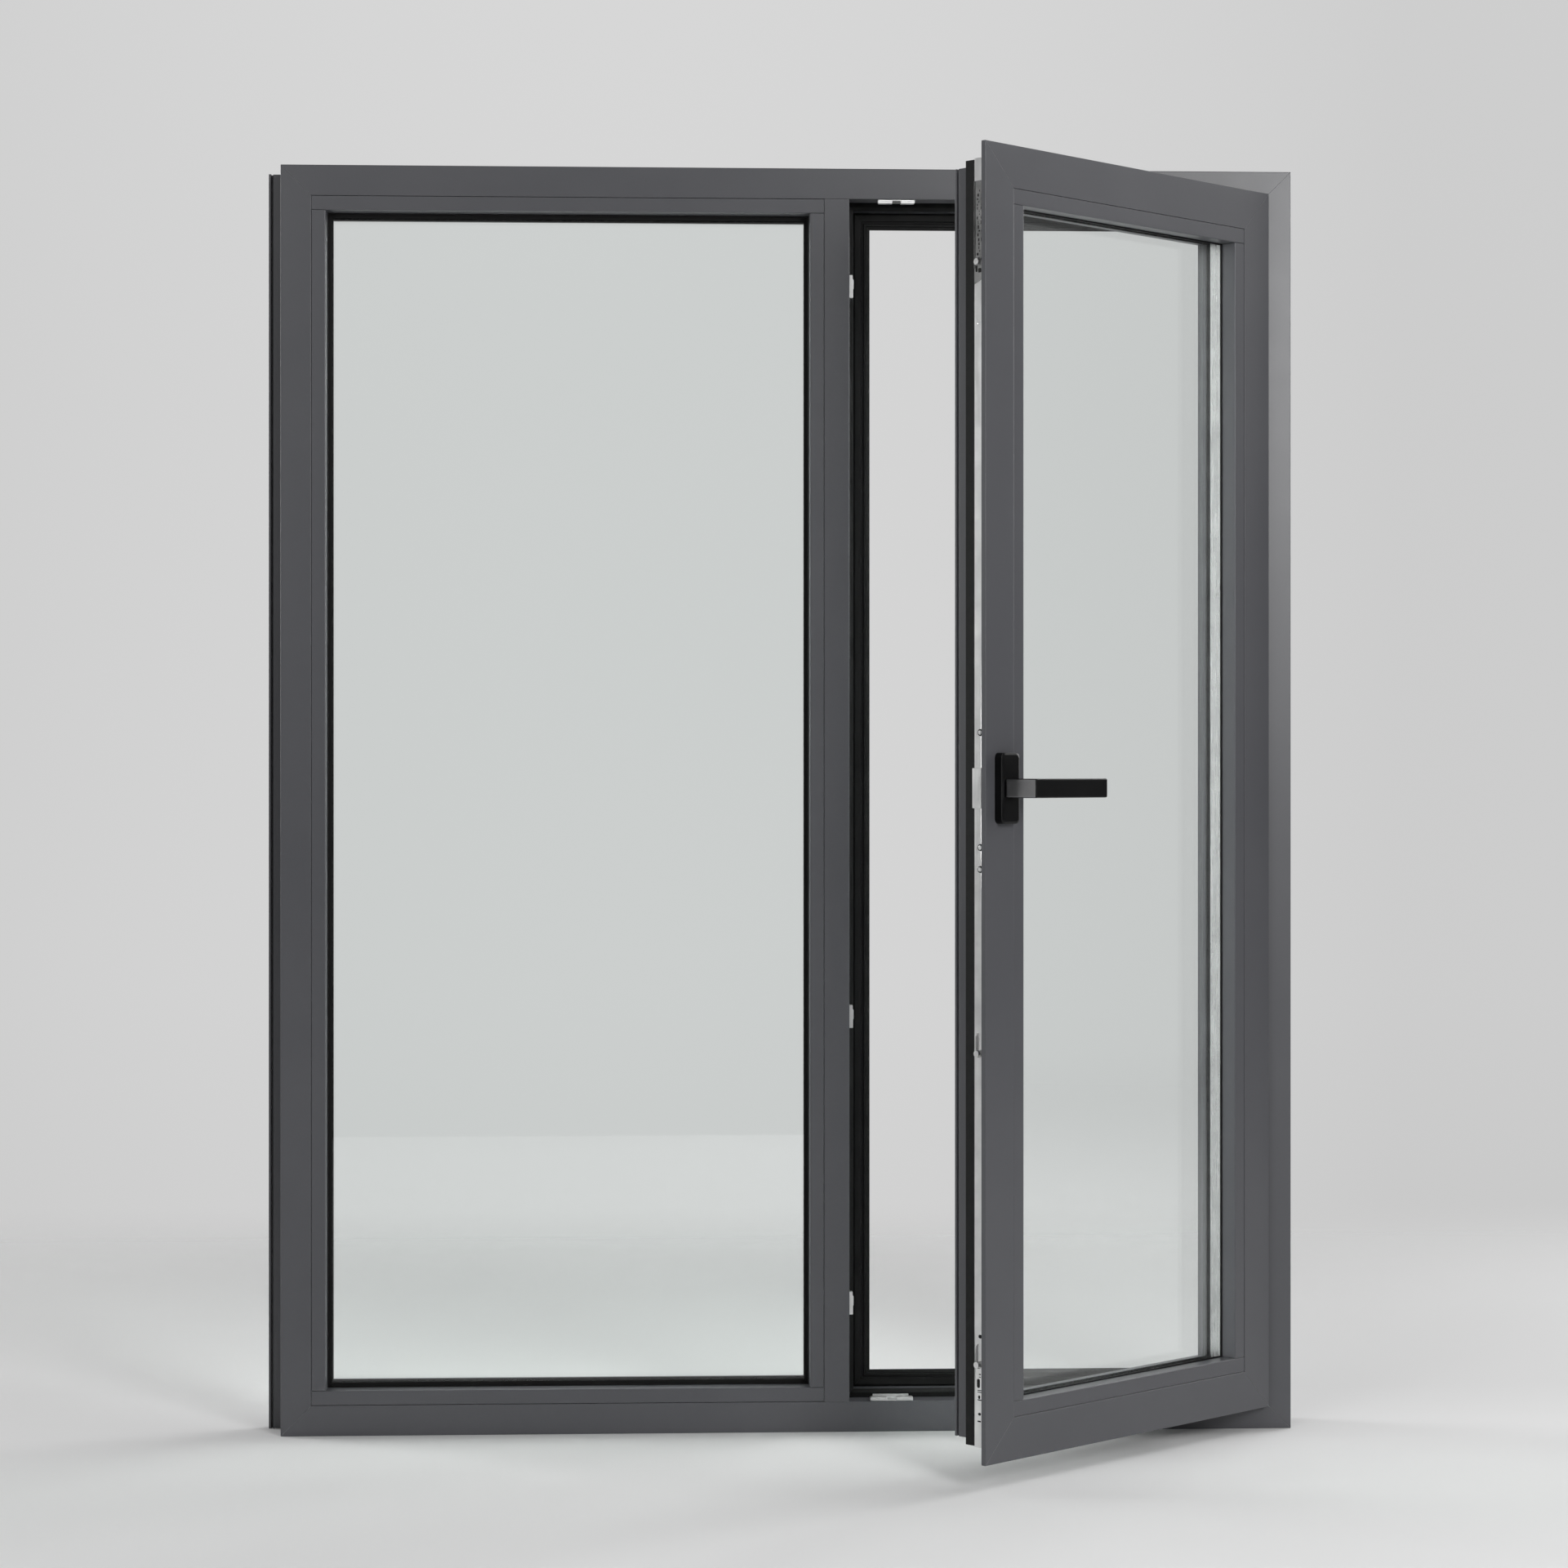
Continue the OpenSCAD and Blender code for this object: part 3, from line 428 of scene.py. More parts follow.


# %% [markdown]
# ## Black handle
# The lever and its rosette are cast metal with a fine black satin coat. Their edges are coloured
# lighter, a painted highlight. The flat side of the lever's neck gets a lighter, metallic copy of
# the coat, a painted sheen.


# %% Handle finish
def handle_black():
    finish, tree, shader = new_finish("satin_black_coat")
    shader.inputs["Specular IOR Level"].default_value = 0.2
    base = colour_ramp(
        tree, grain(tree, 60, 3), [(0.3, (0.0015, 0.0015, 0.0018)), (0.7, (0.003, 0.003, 0.0034))]
    )
    # Lighter colour on the rounded edges: a painted highlight
    lit_edge_mix = add_node(tree, "MixRGB", {"Color2": (0.2, 0.2, 0.205, 1)})
    join(tree, painted_edge_highlight(tree, 0.0007), lit_edge_mix.inputs["Fac"])
    join(tree, base, lit_edge_mix.inputs["Color1"])
    join(tree, lit_edge_mix.outputs["Color"], shader.inputs["Base Color"])
    join(tree, spread(tree, grain(tree, 90, 3), 0.28, 0.4), shader.inputs["Roughness"])
    bump(tree, shader, grain(tree, 1800, 2), 0.00002, 0.5)
    return finish


satin_black = handle_black()
# A lighter, metallic copy of the black coat for the neck's side faces: a painted sheen
painted_side_sheen = bright_metal(
    "thin_coat_over_metal", (0.26, 0.26, 0.265), (0.32, 0.32, 0.325), 0.28, 0.4, EVEN
)
print("finishes", satin_black.name, painted_side_sheen.name)

# %% [markdown]
# ## Finishes for the solids
# Every solid names its finish in the record. Each gets the matching material now, and the
# ones that stay in sight as they are also get softly broken edges from a bevel modifier.

# %% Paint the solids
FINISH = {
    "powder_coat": coat,
    "insulating_strip": polyamide,
    "glass": glass,
    "spacer": mill,
    "gasket": rubber,
    "glazing_block": block_plastic,
    "bright_steel": zinc,
    "black_handle": satin_black,
}
node_slot = {}
for node_name, node in frame["nodes"].items():
    node_slot[node_name] = node.data.materials[0].name
    node.data.materials[0] = FINISH[node_slot[node_name]]
print(len(node_slot), "solids painted")


# %% [markdown]
# ## Bars with rounded edges
# A window bar is one section pushed along a length and cut at its ends. The section is a
# closed outline. Its corners are rounded here as arcs before it is pushed, which gives even,
# smooth edges without a modifier. A mitred end moves each point by its distance from the
# outer edge, so four bars close into a ring.


# %% Section helpers
SHARPEST_LEAN = 0.5
LONGEST_CUT = 0.49


def mm(*values):
    return [value * MM for value in values]


def rounded_outline(points, radii, steps=4):
    outline = []
    count = len(points)
    for i, corner in enumerate(points):
        corner = Vector(corner)
        before = Vector(points[i - 1]) - corner
        after = Vector(points[(i + 1) % count]) - corner
        radius = radii[i] if hasattr(radii, "__len__") else radii
        if radius <= 0:
            outline.append(corner)
            continue
        a, b = before.normalized(), after.normalized()
        half = a.angle(b) / 2
        reach = min(radius / math.tan(half), before.length * LONGEST_CUT, after.length * LONGEST_CUT)
        radius = reach * math.tan(half)
        centre = corner + (a + b).normalized() * (radius / math.sin(half))
        start, stop = corner + a * reach - centre, corner + b * reach - centre
        sweep = start.angle_signed(stop)
        for k in range(steps + 1):
            outline.append(centre + rotated(start, -sweep * k / steps))
    return outline


def rotated(vector, angle):
    c, s = math.cos(angle), math.sin(angle)
    return Vector((vector.x * c - vector.y * s, vector.x * s + vector.y * c))


def shrunk(outline, amount):
    area = sum(a.cross(b) for a, b in zip(outline, outline[1:] + outline[:1]))
    turn = 1 if area > 0 else -1
    moved = []
    for i, point in enumerate(outline):
        a = (point - outline[i - 1]).normalized()
        b = (outline[(i + 1) % len(outline)] - point).normalized()
        inward = Vector((-a.y - b.y, a.x + b.x)) * turn
        if inward.length < 1e-6:
            inward = Vector((-a.y, a.x)) * turn
        inward.normalize()
        lean = max(SHARPEST_LEAN, inward.dot(Vector((-a.y, a.x)) * turn))
        moved.append(point + inward * (amount / lean))
    return moved


def box_outline(u0, u1, y0, y1, radius):
    return rounded_outline([(u0, y0), (u1, y0), (u1, y1), (u0, y1)], radius)


print("section helpers ready")

# %% [markdown]
# A skin joins one loop of points to the next and closes both ends. Every new piece is such a
# skin, so one helper turns it into a mesh with its finish, lets it ride on its body and hides
# the solids it stands in for.


# %% Skin and bar helpers
def skin(bm, rings):
    for first, second in zip(rings, rings[1:]):
        for i in range(len(first)):
            j = (i + 1) % len(first)
            bm.faces.new((first[i], first[j], second[j], second[i]))
    bm.faces.new(rings[0])
    bm.faces.new(rings[-1])


def mesh_piece(bm, name, body, slot, replaced=(), move=None):
    bmesh.ops.recalc_face_normals(bm, faces=bm.faces)
    mesh = bpy.data.meshes.new(name)
    bm.to_mesh(mesh)
    bm.free()
    if move is not None:
        mesh.transform(move)
    mesh.materials.append(FINISH[slot])
    mesh.shade_smooth()
    mesh.set_sharp_from_angle(angle=math.radians(40))
    piece = bpy.data.objects.new(name, mesh)
    bpy.context.scene.collection.objects.link(piece)
    evened = piece.modifiers.new("even_normals", "WEIGHTED_NORMAL")
    evened.keep_sharp = True
    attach(piece, body)
    if replaced:
        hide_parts(*replaced)
    return piece


LEVEL = ("top", "bottom")
UPRIGHT = ("left", "right")
SIDES = ("top", "right", "bottom", "left")


def place_on_side(side, ring, u, y, along):
    x0, x1, z0, z1 = ring
    if side == "top":
        return (along, y, z1 - u)
    if side == "bottom":
        return (along, y, z0 + u)
    if side == "left":
        return (x0 + u, y, along)
    return (x1 - u, y, along)


def add_bar(bm, side, ring, outline, mitred=True, ends=None, groove=0.25 * MM):
    x0, x1, z0, z1 = ring
    low, high = (x0, x1) if side in LEVEL else (z0, z1)
    if ends:
        low, high = ends
    inner = shrunk(outline, groove)
    rings = []
    for at, direction, step, shape in (
        (low, 1, 0, inner),
        (low, 1, groove, outline),
        (high, -1, groove, outline),
        (high, -1, 0, inner),
    ):
        loop = []
        for point in shape:
            slide = point.x if mitred else 0
            along = at + direction * (slide + step)
            loop.append(bm.verts.new(place_on_side(side, ring, point.x, point.y, along)))
        rings.append(loop)
    skin(bm, rings)


def bar_piece(name, sides, ring, outlines, body, slot, replaced=(), move=None, **how):
    bm = bmesh.new()
    for side in sides:
        for outline in outlines:
            add_bar(bm, side, ring, outline, **how)
    return mesh_piece(bm, name, body, slot, replaced, move)


def coated_bar(name, sides, ring, outline, body, replaced=(), move=None, **how):
    return bar_piece(name, sides, ring, [outline], body, "powder_coat", replaced, move, **how)


print("bar helpers ready")

# %% [markdown]
# ## Measures of the frame
# The solids say where everything is. The outer frame is read straight from their boxes. The
# sash stands open, so its pieces are measured after turning them back by the swing joint's
# own angle, and new pieces are built shut and then turned out again.

# %% Measure the frame
inner_low, inner_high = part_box("frame_head_inner")
outer_low, outer_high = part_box("frame_outer_rails")
mullion_low, mullion_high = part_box("mullion_inner")
shell_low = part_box("mullion_outer")[0]
break_low, break_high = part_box("frame_thermal_breaks")
window_ring = (inner_low.x, inner_high.x, cad_low.z, cad_high.z)
FACE = inner_high.z - inner_low.z
UPSTAND = mullion_low.x - shell_low.x
room_face, shell_end = inner_low.y, inner_high.y
outer_start, outside = outer_low.y, outer_high.y
print("insulating strips of the frame", round((break_high.y - break_low.y) * 1000, 1), "mm deep")
stop_low, stop_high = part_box("vent_stop_gasket")
upstand_y = stop_high.y
print("frame face", round(FACE, 4), "upstand", round(UPSTAND, 4))

# %% Measure the shut sash
swing = next(j for j in frame["joints"] if j["name"] == "sash_swing")
pivot = Matrix.Translation(Vector((swing["pos_m"][0], swing["pos_m"][1], 0)))
open_angle = -math.radians(swing["range_deg"][0])
swung_out = pivot @ Matrix.Rotation(open_angle, 4, "Z") @ pivot.inverted()
swung_back = swung_out.inverted()


def shut_box(*names):
    points = [swung_back @ v.co for n in names for v in frame["nodes"][n].data.vertices]
    low = Vector(min(p[k] for p in points) for k in range(3))
    high = Vector(max(p[k] for p in points) for k in range(3))
    return low, high


sash_low, sash_high = shut_box("sash_top_rail_inner")
stile_low, stile_high = shut_box("sash_lock_stile_inner")
sash_shell_low, sash_shell_high = shut_box("sash_outer_rails")
sash_break_high = shut_box("sash_thermal_breaks")[1]
sash_ring = (stile_low.x, sash_high.x, stile_low.z, stile_high.z)
SASH_FACE = sash_high.z - sash_low.z
print("sash face", round(SASH_FACE, 4))
print("sash ring", [round(v, 4) for v in sash_ring])

# %% [markdown]
# ## The outer frame
# Head, sill and jambs are hollow bars in two halves: a shell towards the room and one towards
# the open air, with the black strip between them. Only the outside of a hollow bar is ever
# seen, so each is built as one closed skin. The room-side corners have the soft radius of an
# extruded edge.

# %% Room-side bars of the frame
SOFT = 0.8 * MM
TIGHT = 0.3 * MM
inner_outline = rounded_outline(
    [(0, room_face), (FACE, room_face), (FACE, shell_end), (0, shell_end)],
    [SOFT, SOFT, TIGHT, TIGHT],
)
for side, node_name in (
    ("top", "frame_head_inner"),
    ("bottom", "frame_sill_inner"),
    ("left", "frame_left_jamb_inner"),
    ("right", "frame_right_jamb_inner"),
):
    name = node_name.replace("_inner", "_bar")
    coated_bar(name, [side], window_ring, inner_outline, "frame", [node_name])
print("room-side bars", round(FACE * 1000), "mm wide")

# %% [markdown]
# The outside half of each bar carries an upstand, the step that the fixed glass and the vent's
# stop seal lean on. One L-shaped section serves all four sides.

# %% Outside bars of the frame
outer_outline = rounded_outline(
    [
        (0, outer_start),
        (FACE, outer_start),
        (FACE, upstand_y),
        (FACE + UPSTAND, upstand_y),
        (FACE + UPSTAND, outside),
        (0, outside),
    ],
    [TIGHT, TIGHT, TIGHT, SOFT, 1.2 * MM, SOFT],
)
coated_bar("frame_outside_rails", LEVEL, window_ring, outer_outline, "frame", ["frame_outer_rails"])
coated_bar("frame_outside_jambs", UPRIGHT, window_ring, outer_outline, "frame", ["frame_outer_jambs"])
print("outside bars with an upstand of", round(UPSTAND * 1000), "mm")

# %% [markdown]
# The mullion is the post between the two lights. Its room half is a plain box, and its outside
# half has a wing on each side. The wings stop where the head's and sill's upstands begin, so a
# short stub fills each end.

# %% Mullion
post_ring = (mullion_low.x, mullion_high.x, mullion_low.z, mullion_high.z)
post_w = mullion_high.x - mullion_low.x
post_outline = rounded_outline(
    [(0, room_face), (post_w, room_face), (post_w, shell_end), (0, shell_end)],
    [SOFT, SOFT, TIGHT, TIGHT],
)
coated_bar("mullion_bar", ["left"], post_ring, post_outline, "frame", ["mullion_inner"], mitred=False)
wing_outline = rounded_outline(
    [
        (0, outer_start),
        (post_w, outer_start),
        (post_w, upstand_y),
        (post_w + UPSTAND, upstand_y),
        (post_w + UPSTAND, outside),
        (-UPSTAND, outside),
        (-UPSTAND, upstand_y),
        (0, upstand_y),
    ],
    [TIGHT, TIGHT, TIGHT, SOFT, SOFT, SOFT, SOFT, TIGHT],
)
wing_ends = (mullion_low.z + UPSTAND, mullion_high.z - UPSTAND)
coated_bar(
    "mullion_outside",
    ["left"],
    post_ring,
    wing_outline,
    "frame",
    ["mullion_outer"],
    mitred=False,
    ends=wing_ends,
)
stub_outline = box_outline(0, post_w, outer_start, outside - TIGHT, TIGHT)
for name, ends in (
    ("mullion_foot", (mullion_low.z, mullion_low.z + UPSTAND)),
    ("mullion_neck", (mullion_high.z - UPSTAND, mullion_high.z)),
):
    coated_bar(name, ["left"], post_ring, stub_outline, "frame", mitred=False, ends=ends)
print("mullion", round(post_w * 1000), "mm wide")

# %% [markdown]
# ## Coupling profile
# A second bar is clipped to the fixed-light jamb so that another window can join on. It is a
# thin lip, a deep groove and a hollow box. The three outlines stand side by side.

# %% Coupling profile
joiner_low, joiner_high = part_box("coupling_profile")
joiner_ring = (joiner_low.x, joiner_high.x, joiner_low.z, joiner_high.z)
joiner_w = joiner_high.x - joiner_low.x
lip_end, slot_end = 3 * MM, 5 * MM
slot_depth, box_depth = 7 * MM, 2 * MM
bar_piece(
    "coupling_bar",
    ["left"],
    joiner_ring,
    [
        box_outline(0, lip_end, joiner_low.y, joiner_high.y, 0.5 * MM),
        box_outline(lip_end, slot_end, joiner_low.y + slot_depth, joiner_high.y, 0.2 * MM),
        box_outline(slot_end, joiner_w, joiner_low.y + box_depth, joiner_high.y, 0.6 * MM),
    ],
    "frame",
    "powder_coat",
    ["coupling_profile"],
    mitred=False,
)
print("coupling bar", round(joiner_w * 1000), "mm wide")

# %% [markdown]
# ## Glazing beads
# Beads clip in from the room and hold the glass. The level ones run the full width and the
# upright ones stand between them, so the joints are square and not mitred. A hair's breadth
# of gap beside a rounded edge gives the fine dark line with a bright one next to it.

# %% Glazing beads
GAP = 0.3 * MM


def bead_set(nodes, body, move, measure):
    low = Vector(min(measure(n)[0][k] for n in nodes) for k in range(3))
    high = Vector(max(measure(n)[1][k] for n in nodes) for k in range(3))
    top_low, top_high = measure(nodes[0])
    width, ring = top_high.z - top_low.z, (low.x, high.x, low.z, high.z)
    outline = rounded_outline(
        [(GAP, low.y), (width, low.y), (width, high.y), (GAP, high.y)],
        [0.6 * MM, 1.3 * MM, TIGHT, TIGHT],
    )
    for side, node_name in zip(("top", "bottom", "left", "right"), nodes):
        ends = (low.z + width + GAP, high.z - width - GAP)
        if side in LEVEL:
            ends = (low.x + GAP, high.x - GAP)
        name = node_name + "_strip"
        coated_bar(name, [side], ring, outline, body, [node_name], move, mitred=False, ends=ends)
    return ring, width, high.y


fixed_ring, fixed_bead, fixed_bead_end = bead_set(
    ["fixed_bead_top", "fixed_bead_bottom", "fixed_bead_left", "fixed_bead_right"],
    "frame",
    None,
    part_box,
)
vent_ring, sash_bead, sash_bead_end = bead_set(
    ["sash_bead_top", "sash_bead_bottom", "sash_bead_lock_side", "sash_bead_hinge_side"],
    "sash",
    swung_out,
    shut_box,
)
print("beads", round(fixed_bead * 1000, 1), "and", round(sash_bead * 1000, 1), "mm wide")

# %% [markdown]
# ## The sash
# The sash has the same two halves. Its room-side bar is L-shaped: the flange laps over the
# frame and hides the hardware gap when shut. The outside bar has a small hook groove for the
# weather seal. These are built shut and swung out with the rest of the sash.

# %% Room-side bars of the sash
sash_y = sash_low.y
flange = 6 * MM
shell_u = 20 * MM
sash_inner_end = sash_high.y
sash_outline = rounded_outline(
    [
        (0, sash_y),
        (SASH_FACE, sash_y),
        (SASH_FACE, sash_inner_end),
        (shell_u, sash_inner_end),
        (shell_u, sash_y + flange),
        (0, sash_y + flange),
    ],
    [SOFT, SOFT, TIGHT, TIGHT, TIGHT, TIGHT],
)
for side, node_name in (
    ("top", "sash_top_rail_inner"),
    ("bottom", "sash_bottom_rail_inner"),
    ("left", "sash_lock_stile_inner"),
    ("right", "sash_hinge_stile_inner"),
):
    name = node_name.replace("_inner", "_bar")
    coated_bar(name, [side], sash_ring, sash_outline, "sash", [node_name], swung_out)
print("sash room-side bars", round(SASH_FACE * 1000), "mm wide")

# %% Outside bars of the sash
outer_u = sash_shell_low.x - sash_ring[0]
sash_back = sash_shell_high.y
weather_u = SASH_FACE + 15 * MM
weather_y = sash_back - 12 * MM
hook = 3 * MM
weather_outline = rounded_outline(
    [
        (outer_u, sash_break_high.y),
        (SASH_FACE, sash_break_high.y),
        (SASH_FACE, weather_y),
        (weather_u, weather_y),
        (weather_u, sash_back),
        (outer_u, sash_back),
        (outer_u, sash_back - hook),
        (outer_u + hook, sash_back - hook),
        (outer_u + hook, sash_back - 2 * hook),
        (outer_u, sash_back - 2 * hook),
    ],
    [TIGHT, TIGHT, TIGHT, SOFT, 1.0 * MM, SOFT, TIGHT, TIGHT, TIGHT, TIGHT],
)
for name, sides, node_name in (
    ("sash_outside_rails", LEVEL, "sash_outer_rails"),
    ("sash_outside_stiles", UPRIGHT, "sash_outer_stiles"),
):
    coated_bar(name, sides, sash_ring, weather_outline, "sash", [node_name], swung_out)
print("sash back at", round(sash_back * 1000, 1), "mm")

# %% [markdown]
# ## Gaskets
# A gasket's lips press on glass or metal. Their ribs catch thin lines of light in the dark
# rebate, so each section is drawn with its ribs and pushed round the opening, mitred at the
# corners as a vulcanised frame gasket is.

# %% Glazing gaskets
pane_low, pane_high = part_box("fixed_panes")
sash_pane_low, sash_pane_high = shut_box("sash_panes")


def glazing_gaskets(name, ring, bead, bead_end, glass_y, lip_w, stop, body, node_name, move):
    heel = bead - 7 * MM
    lip = rounded_outline(
        [
            (heel, bead_end),
            (bead + 1.2 * MM, bead_end),
            (bead + 1.5 * MM, glass_y[0] - 0.9 * MM),
            (bead + lip_w, glass_y[0] - 0.7 * MM),
            (bead + lip_w, glass_y[0]),
            (heel, glass_y[0]),
        ],
        mm(0.1, 0.6, 0.3, 0.3, 0.05, 0.1),
    )
    stop_u, stop_y = stop
    wedge = rounded_outline(
        [
            (stop_u - 9 * MM, glass_y[1]),
            (stop_u + 1 * MM, glass_y[1]),
            (stop_u + 1 * MM, glass_y[1] + 1 * MM),
            (stop_u, stop_y),
            (stop_u - 9 * MM, stop_y),
        ],
        mm(0.1, 0.3, 0.4, 0.1, 0.1),
    )
    bar_piece(name, SIDES, ring, [lip, wedge], body, "gasket", [node_name], move)


glazing_gaskets(
    "fixed_light_gaskets",
    fixed_ring,
    fixed_bead,
    fixed_bead_end,
    (pane_low.y, pane_high.y),
    5.5 * MM,
    (UPSTAND, upstand_y),
    "frame",
    "fixed_gaskets",
    None,
)
glazing_gaskets(
    "vent_glazing_gaskets",
    vent_ring,
    sash_bead,
    sash_bead_end,
    (sash_pane_low.y, sash_pane_high.y),
    1.5 * MM,
    (weather_u - SASH_FACE, weather_y),
    "sash",
    "sash_gaskets",
    swung_out,
)
print("glazing gaskets on both lights")

# %% [markdown]
# Three more runs seal the vent. The stop seal lines the frame's rebate, the centre seal is the
# long-nosed one that the sash closes on, and the lap seal sits behind the sash's flange.

# %% Vent seals
opening = (mullion_high.x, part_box("frame_right_jamb_inner")[0].x, mullion_low.z, mullion_high.z)
stop_front = stop_low.y
stop_outline = rounded_outline(
    [
        (8 * MM, upstand_y),
        (8 * MM, stop_front + 1.2 * MM),
        (10 * MM, stop_front),
        (17.5 * MM, stop_front),
        (18.2 * MM, stop_front + 2.2 * MM),
        (20 * MM, stop_front + 2.2 * MM),
        (20.6 * MM, stop_front + 0.3 * MM),
        (23.5 * MM, stop_front + 0.3 * MM),
        (24.2 * MM, stop_front + 1.8 * MM),
        (28 * MM, stop_front + 2.2 * MM),
        (28 * MM, upstand_y),
    ],
    mm(0.1, 0.4, 0.8, 0.8, 0.3, 0.3, 0.6, 0.6, 0.3, 0.3, 0.1),
)
bar_piece("vent_stop_seal", SIDES, opening, [stop_outline], "frame", "gasket", ["vent_stop_gasket"])

centre_low, centre_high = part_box("vent_centre_gasket")
centre_ring = (centre_low.x, centre_high.x, centre_low.z, centre_high.z)
centre_outline = rounded_outline(
    [
        (0, centre_low.y),
        (5 * MM, centre_low.y),
        (9.5 * MM, centre_low.y + 1.2 * MM),
        (9.5 * MM, centre_low.y + 2.6 * MM),
        (5.5 * MM, centre_low.y + 3.4 * MM),
        (5.0 * MM, centre_high.y),
        (0, centre_high.y),
    ],
    mm(0.1, 0.8, 0.5, 0.5, 0.5, 0.3, 0.1),
)
centre_node = ["vent_centre_gasket"]
bar_piece("vent_centre_seal", SIDES, centre_ring, [centre_outline], "frame", "gasket", centre_node)

lap_low, lap_high = shut_box("sash_overlap_gasket")
lap_ring = (lap_low.x, lap_high.x, lap_low.z, lap_high.z)
lap_outline = rounded_outline(
    [
        (0, lap_low.y),
        (6 * MM, lap_low.y),
        (6 * MM, lap_high.y),
        (3.4 * MM, lap_high.y),
        (2.6 * MM, lap_high.y - 1 * MM),
        (0, lap_high.y - 1.2 * MM),
    ],
    mm(0.1, 0.1, 0.3, 0.3, 0.2, 0.3),
)
lap_node = ["sash_overlap_gasket"]
bar_piece("sash_lap_seal", SIDES, lap_ring, [lap_outline], "sash", "gasket", lap_node, swung_out)
print("three vent seals")

# %% [markdown]
# ## Stacks
# Many fittings are one outline that rises and draws in near its top, such as a cast plate with
# a rolled edge. A stack places the same outline at several heights, each drawn in by its own
# amount, and skins them. A rolled edge is a quarter circle of such steps.


# %% Stack helpers
def rolled(low, high, radius, steps=4):
    turns = [math.radians(90 * k / steps) for k in range(steps + 1)]
    top = [(high - radius + radius * math.sin(t), radius * (1 - math.cos(t))) for t in turns]
    return [(low, 0)] + top


def rolled_both(low, high, radius, steps=4):
    top = rolled(low, high, radius, steps)[1:]
    return [(low + high - height, inset) for height, inset in reversed(top)] + top


def add_stack(bm, outline, levels, place):
    rings = []
    for height, inset in levels:
        shape = shrunk(outline, inset) if inset else outline
        rings.append([bm.verts.new(place(p.x, p.y, height)) for p in shape])
    skin(bm, rings)


def round_outline(x, y, radius, count=20):
    turns = [2 * math.pi * k / count for k in range(count)]
    return [Vector((x + radius * math.cos(t), y + radius * math.sin(t))) for t in turns]


print("stack helpers ready")

# %% [markdown]
# ## The handle
# The rosette is a cast cover. Its wall rises square from the sash and ends in a shallow slope
# with two fine edges, and those edges catch the light. The lever is one L-shaped casting with
# the same rolled edge all round. Both are drawn from the handle's turning axis.

# %% Rosette
rosette_low, rosette_high = shut_box("handle_rosette")
lever_low, lever_high = shut_box("handle_lever")
axis = Vector(((rosette_low.x + rosette_high.x) / 2, sash_y, (rosette_low.z + rosette_high.z) / 2))
rosette_t = sash_y - rosette_low.y


def at_handle(a, b, c):
    return (axis.x + a, axis.y - c, axis.z + b)


half_w = (rosette_high.x - rosette_low.x) / 2
half_h = (rosette_high.z - rosette_low.z) / 2
corners = [(-half_w, -half_h), (half_w, -half_h), (half_w, half_h), (-half_w, half_h)]
bm = bmesh.new()
add_stack(
    bm,
    rounded_outline(corners, 6 * MM, 8),
    [
        (0, 0),
        (rosette_t - 1.3 * MM, 0),
        (rosette_t - 1.05 * MM, 0.12 * MM),
        (rosette_t - 0.9 * MM, 0.35 * MM),
        (rosette_t - 0.25 * MM, 2.2 * MM),
        (rosette_t - 0.08 * MM, 2.5 * MM),
        (rosette_t, 2.9 * MM),
    ],
    at_handle,
)
mesh_piece(bm, "rosette_cover", "sash", "black_handle", ["handle_rosette"], swung_out)
print("rosette", round(rosette_t * 1000), "mm thick")

# %% [markdown]
# The lever's neck stands on the turning axis, and its grip reaches sideways with room behind
# it for fingers. Its L is drawn as seen from above and rises through the lever's height.

# %% Lever
GRIP_T = 9 * MM
RUNNING_GAP = 0.3 * MM
reach = sash_y - lever_low.y
grip_back = reach - GRIP_T
tail, tip = axis.x - lever_low.x, lever_high.x - axis.x
root = rosette_t + RUNNING_GAP
lever_outline = rounded_outline(
    [(-tail, root), (tail, root), (tail, grip_back), (tip, grip_back), (tip, reach), (-tail, reach)],
    mm(2.2, 2.2, 3, 2.2, 2.4, 2.2),
    6,
)
half_h = (lever_high.z - lever_low.z) / 2
bm = bmesh.new()
edges = rolled_both(-half_h, half_h, 1.8 * MM, 5)
add_stack(bm, lever_outline, edges, lambda a, c, b: at_handle(a, b, c))
# The neck's side faces take the lighter copy of the coat, a painted sheen
neck_side = axis.x - tail + 0.4 * MM
for face in bm.faces:
    if face.calc_center_median().x < neck_side:
        face.material_index = 1
lever = mesh_piece(bm, "lever_casting", "handle", "black_handle", ["handle_lever"], swung_out)
lever.data.materials.append(painted_side_sheen)
print("lever reaches", round(reach * 1000), "mm from the sash")

# %% [markdown]
# ## Keepers
# A cam on the rod slides behind the lip of a keeper and pulls the sash tight. Each keeper is a
# pressed plate with a lip: on the mullion its face swells in the middle, and on the head and
# sill it is in two halves with a slot between. Small screws hold the plates.


# %% Screw helper
def screw_on(bm, centre, out, side, radius=2.6 * MM, proud=0.5 * MM):
    centre, out, side = Vector(centre), Vector(out), Vector(side)
    up = out.cross(side)

    def place(a, b, c):
        return centre + side * a + up * b + out * c

    add_stack(bm, round_outline(0, 0, radius), rolled(0, proud, proud * 0.8, 2), place)
    slit = box_outline(-0.35 * MM, 0.35 * MM, -radius * 0.7, radius * 0.7, 0.1 * MM)
    add_stack(bm, slit, [(proud, 0), (proud + 0.05 * MM, 0.05 * MM)], place)


print("screw helper ready")

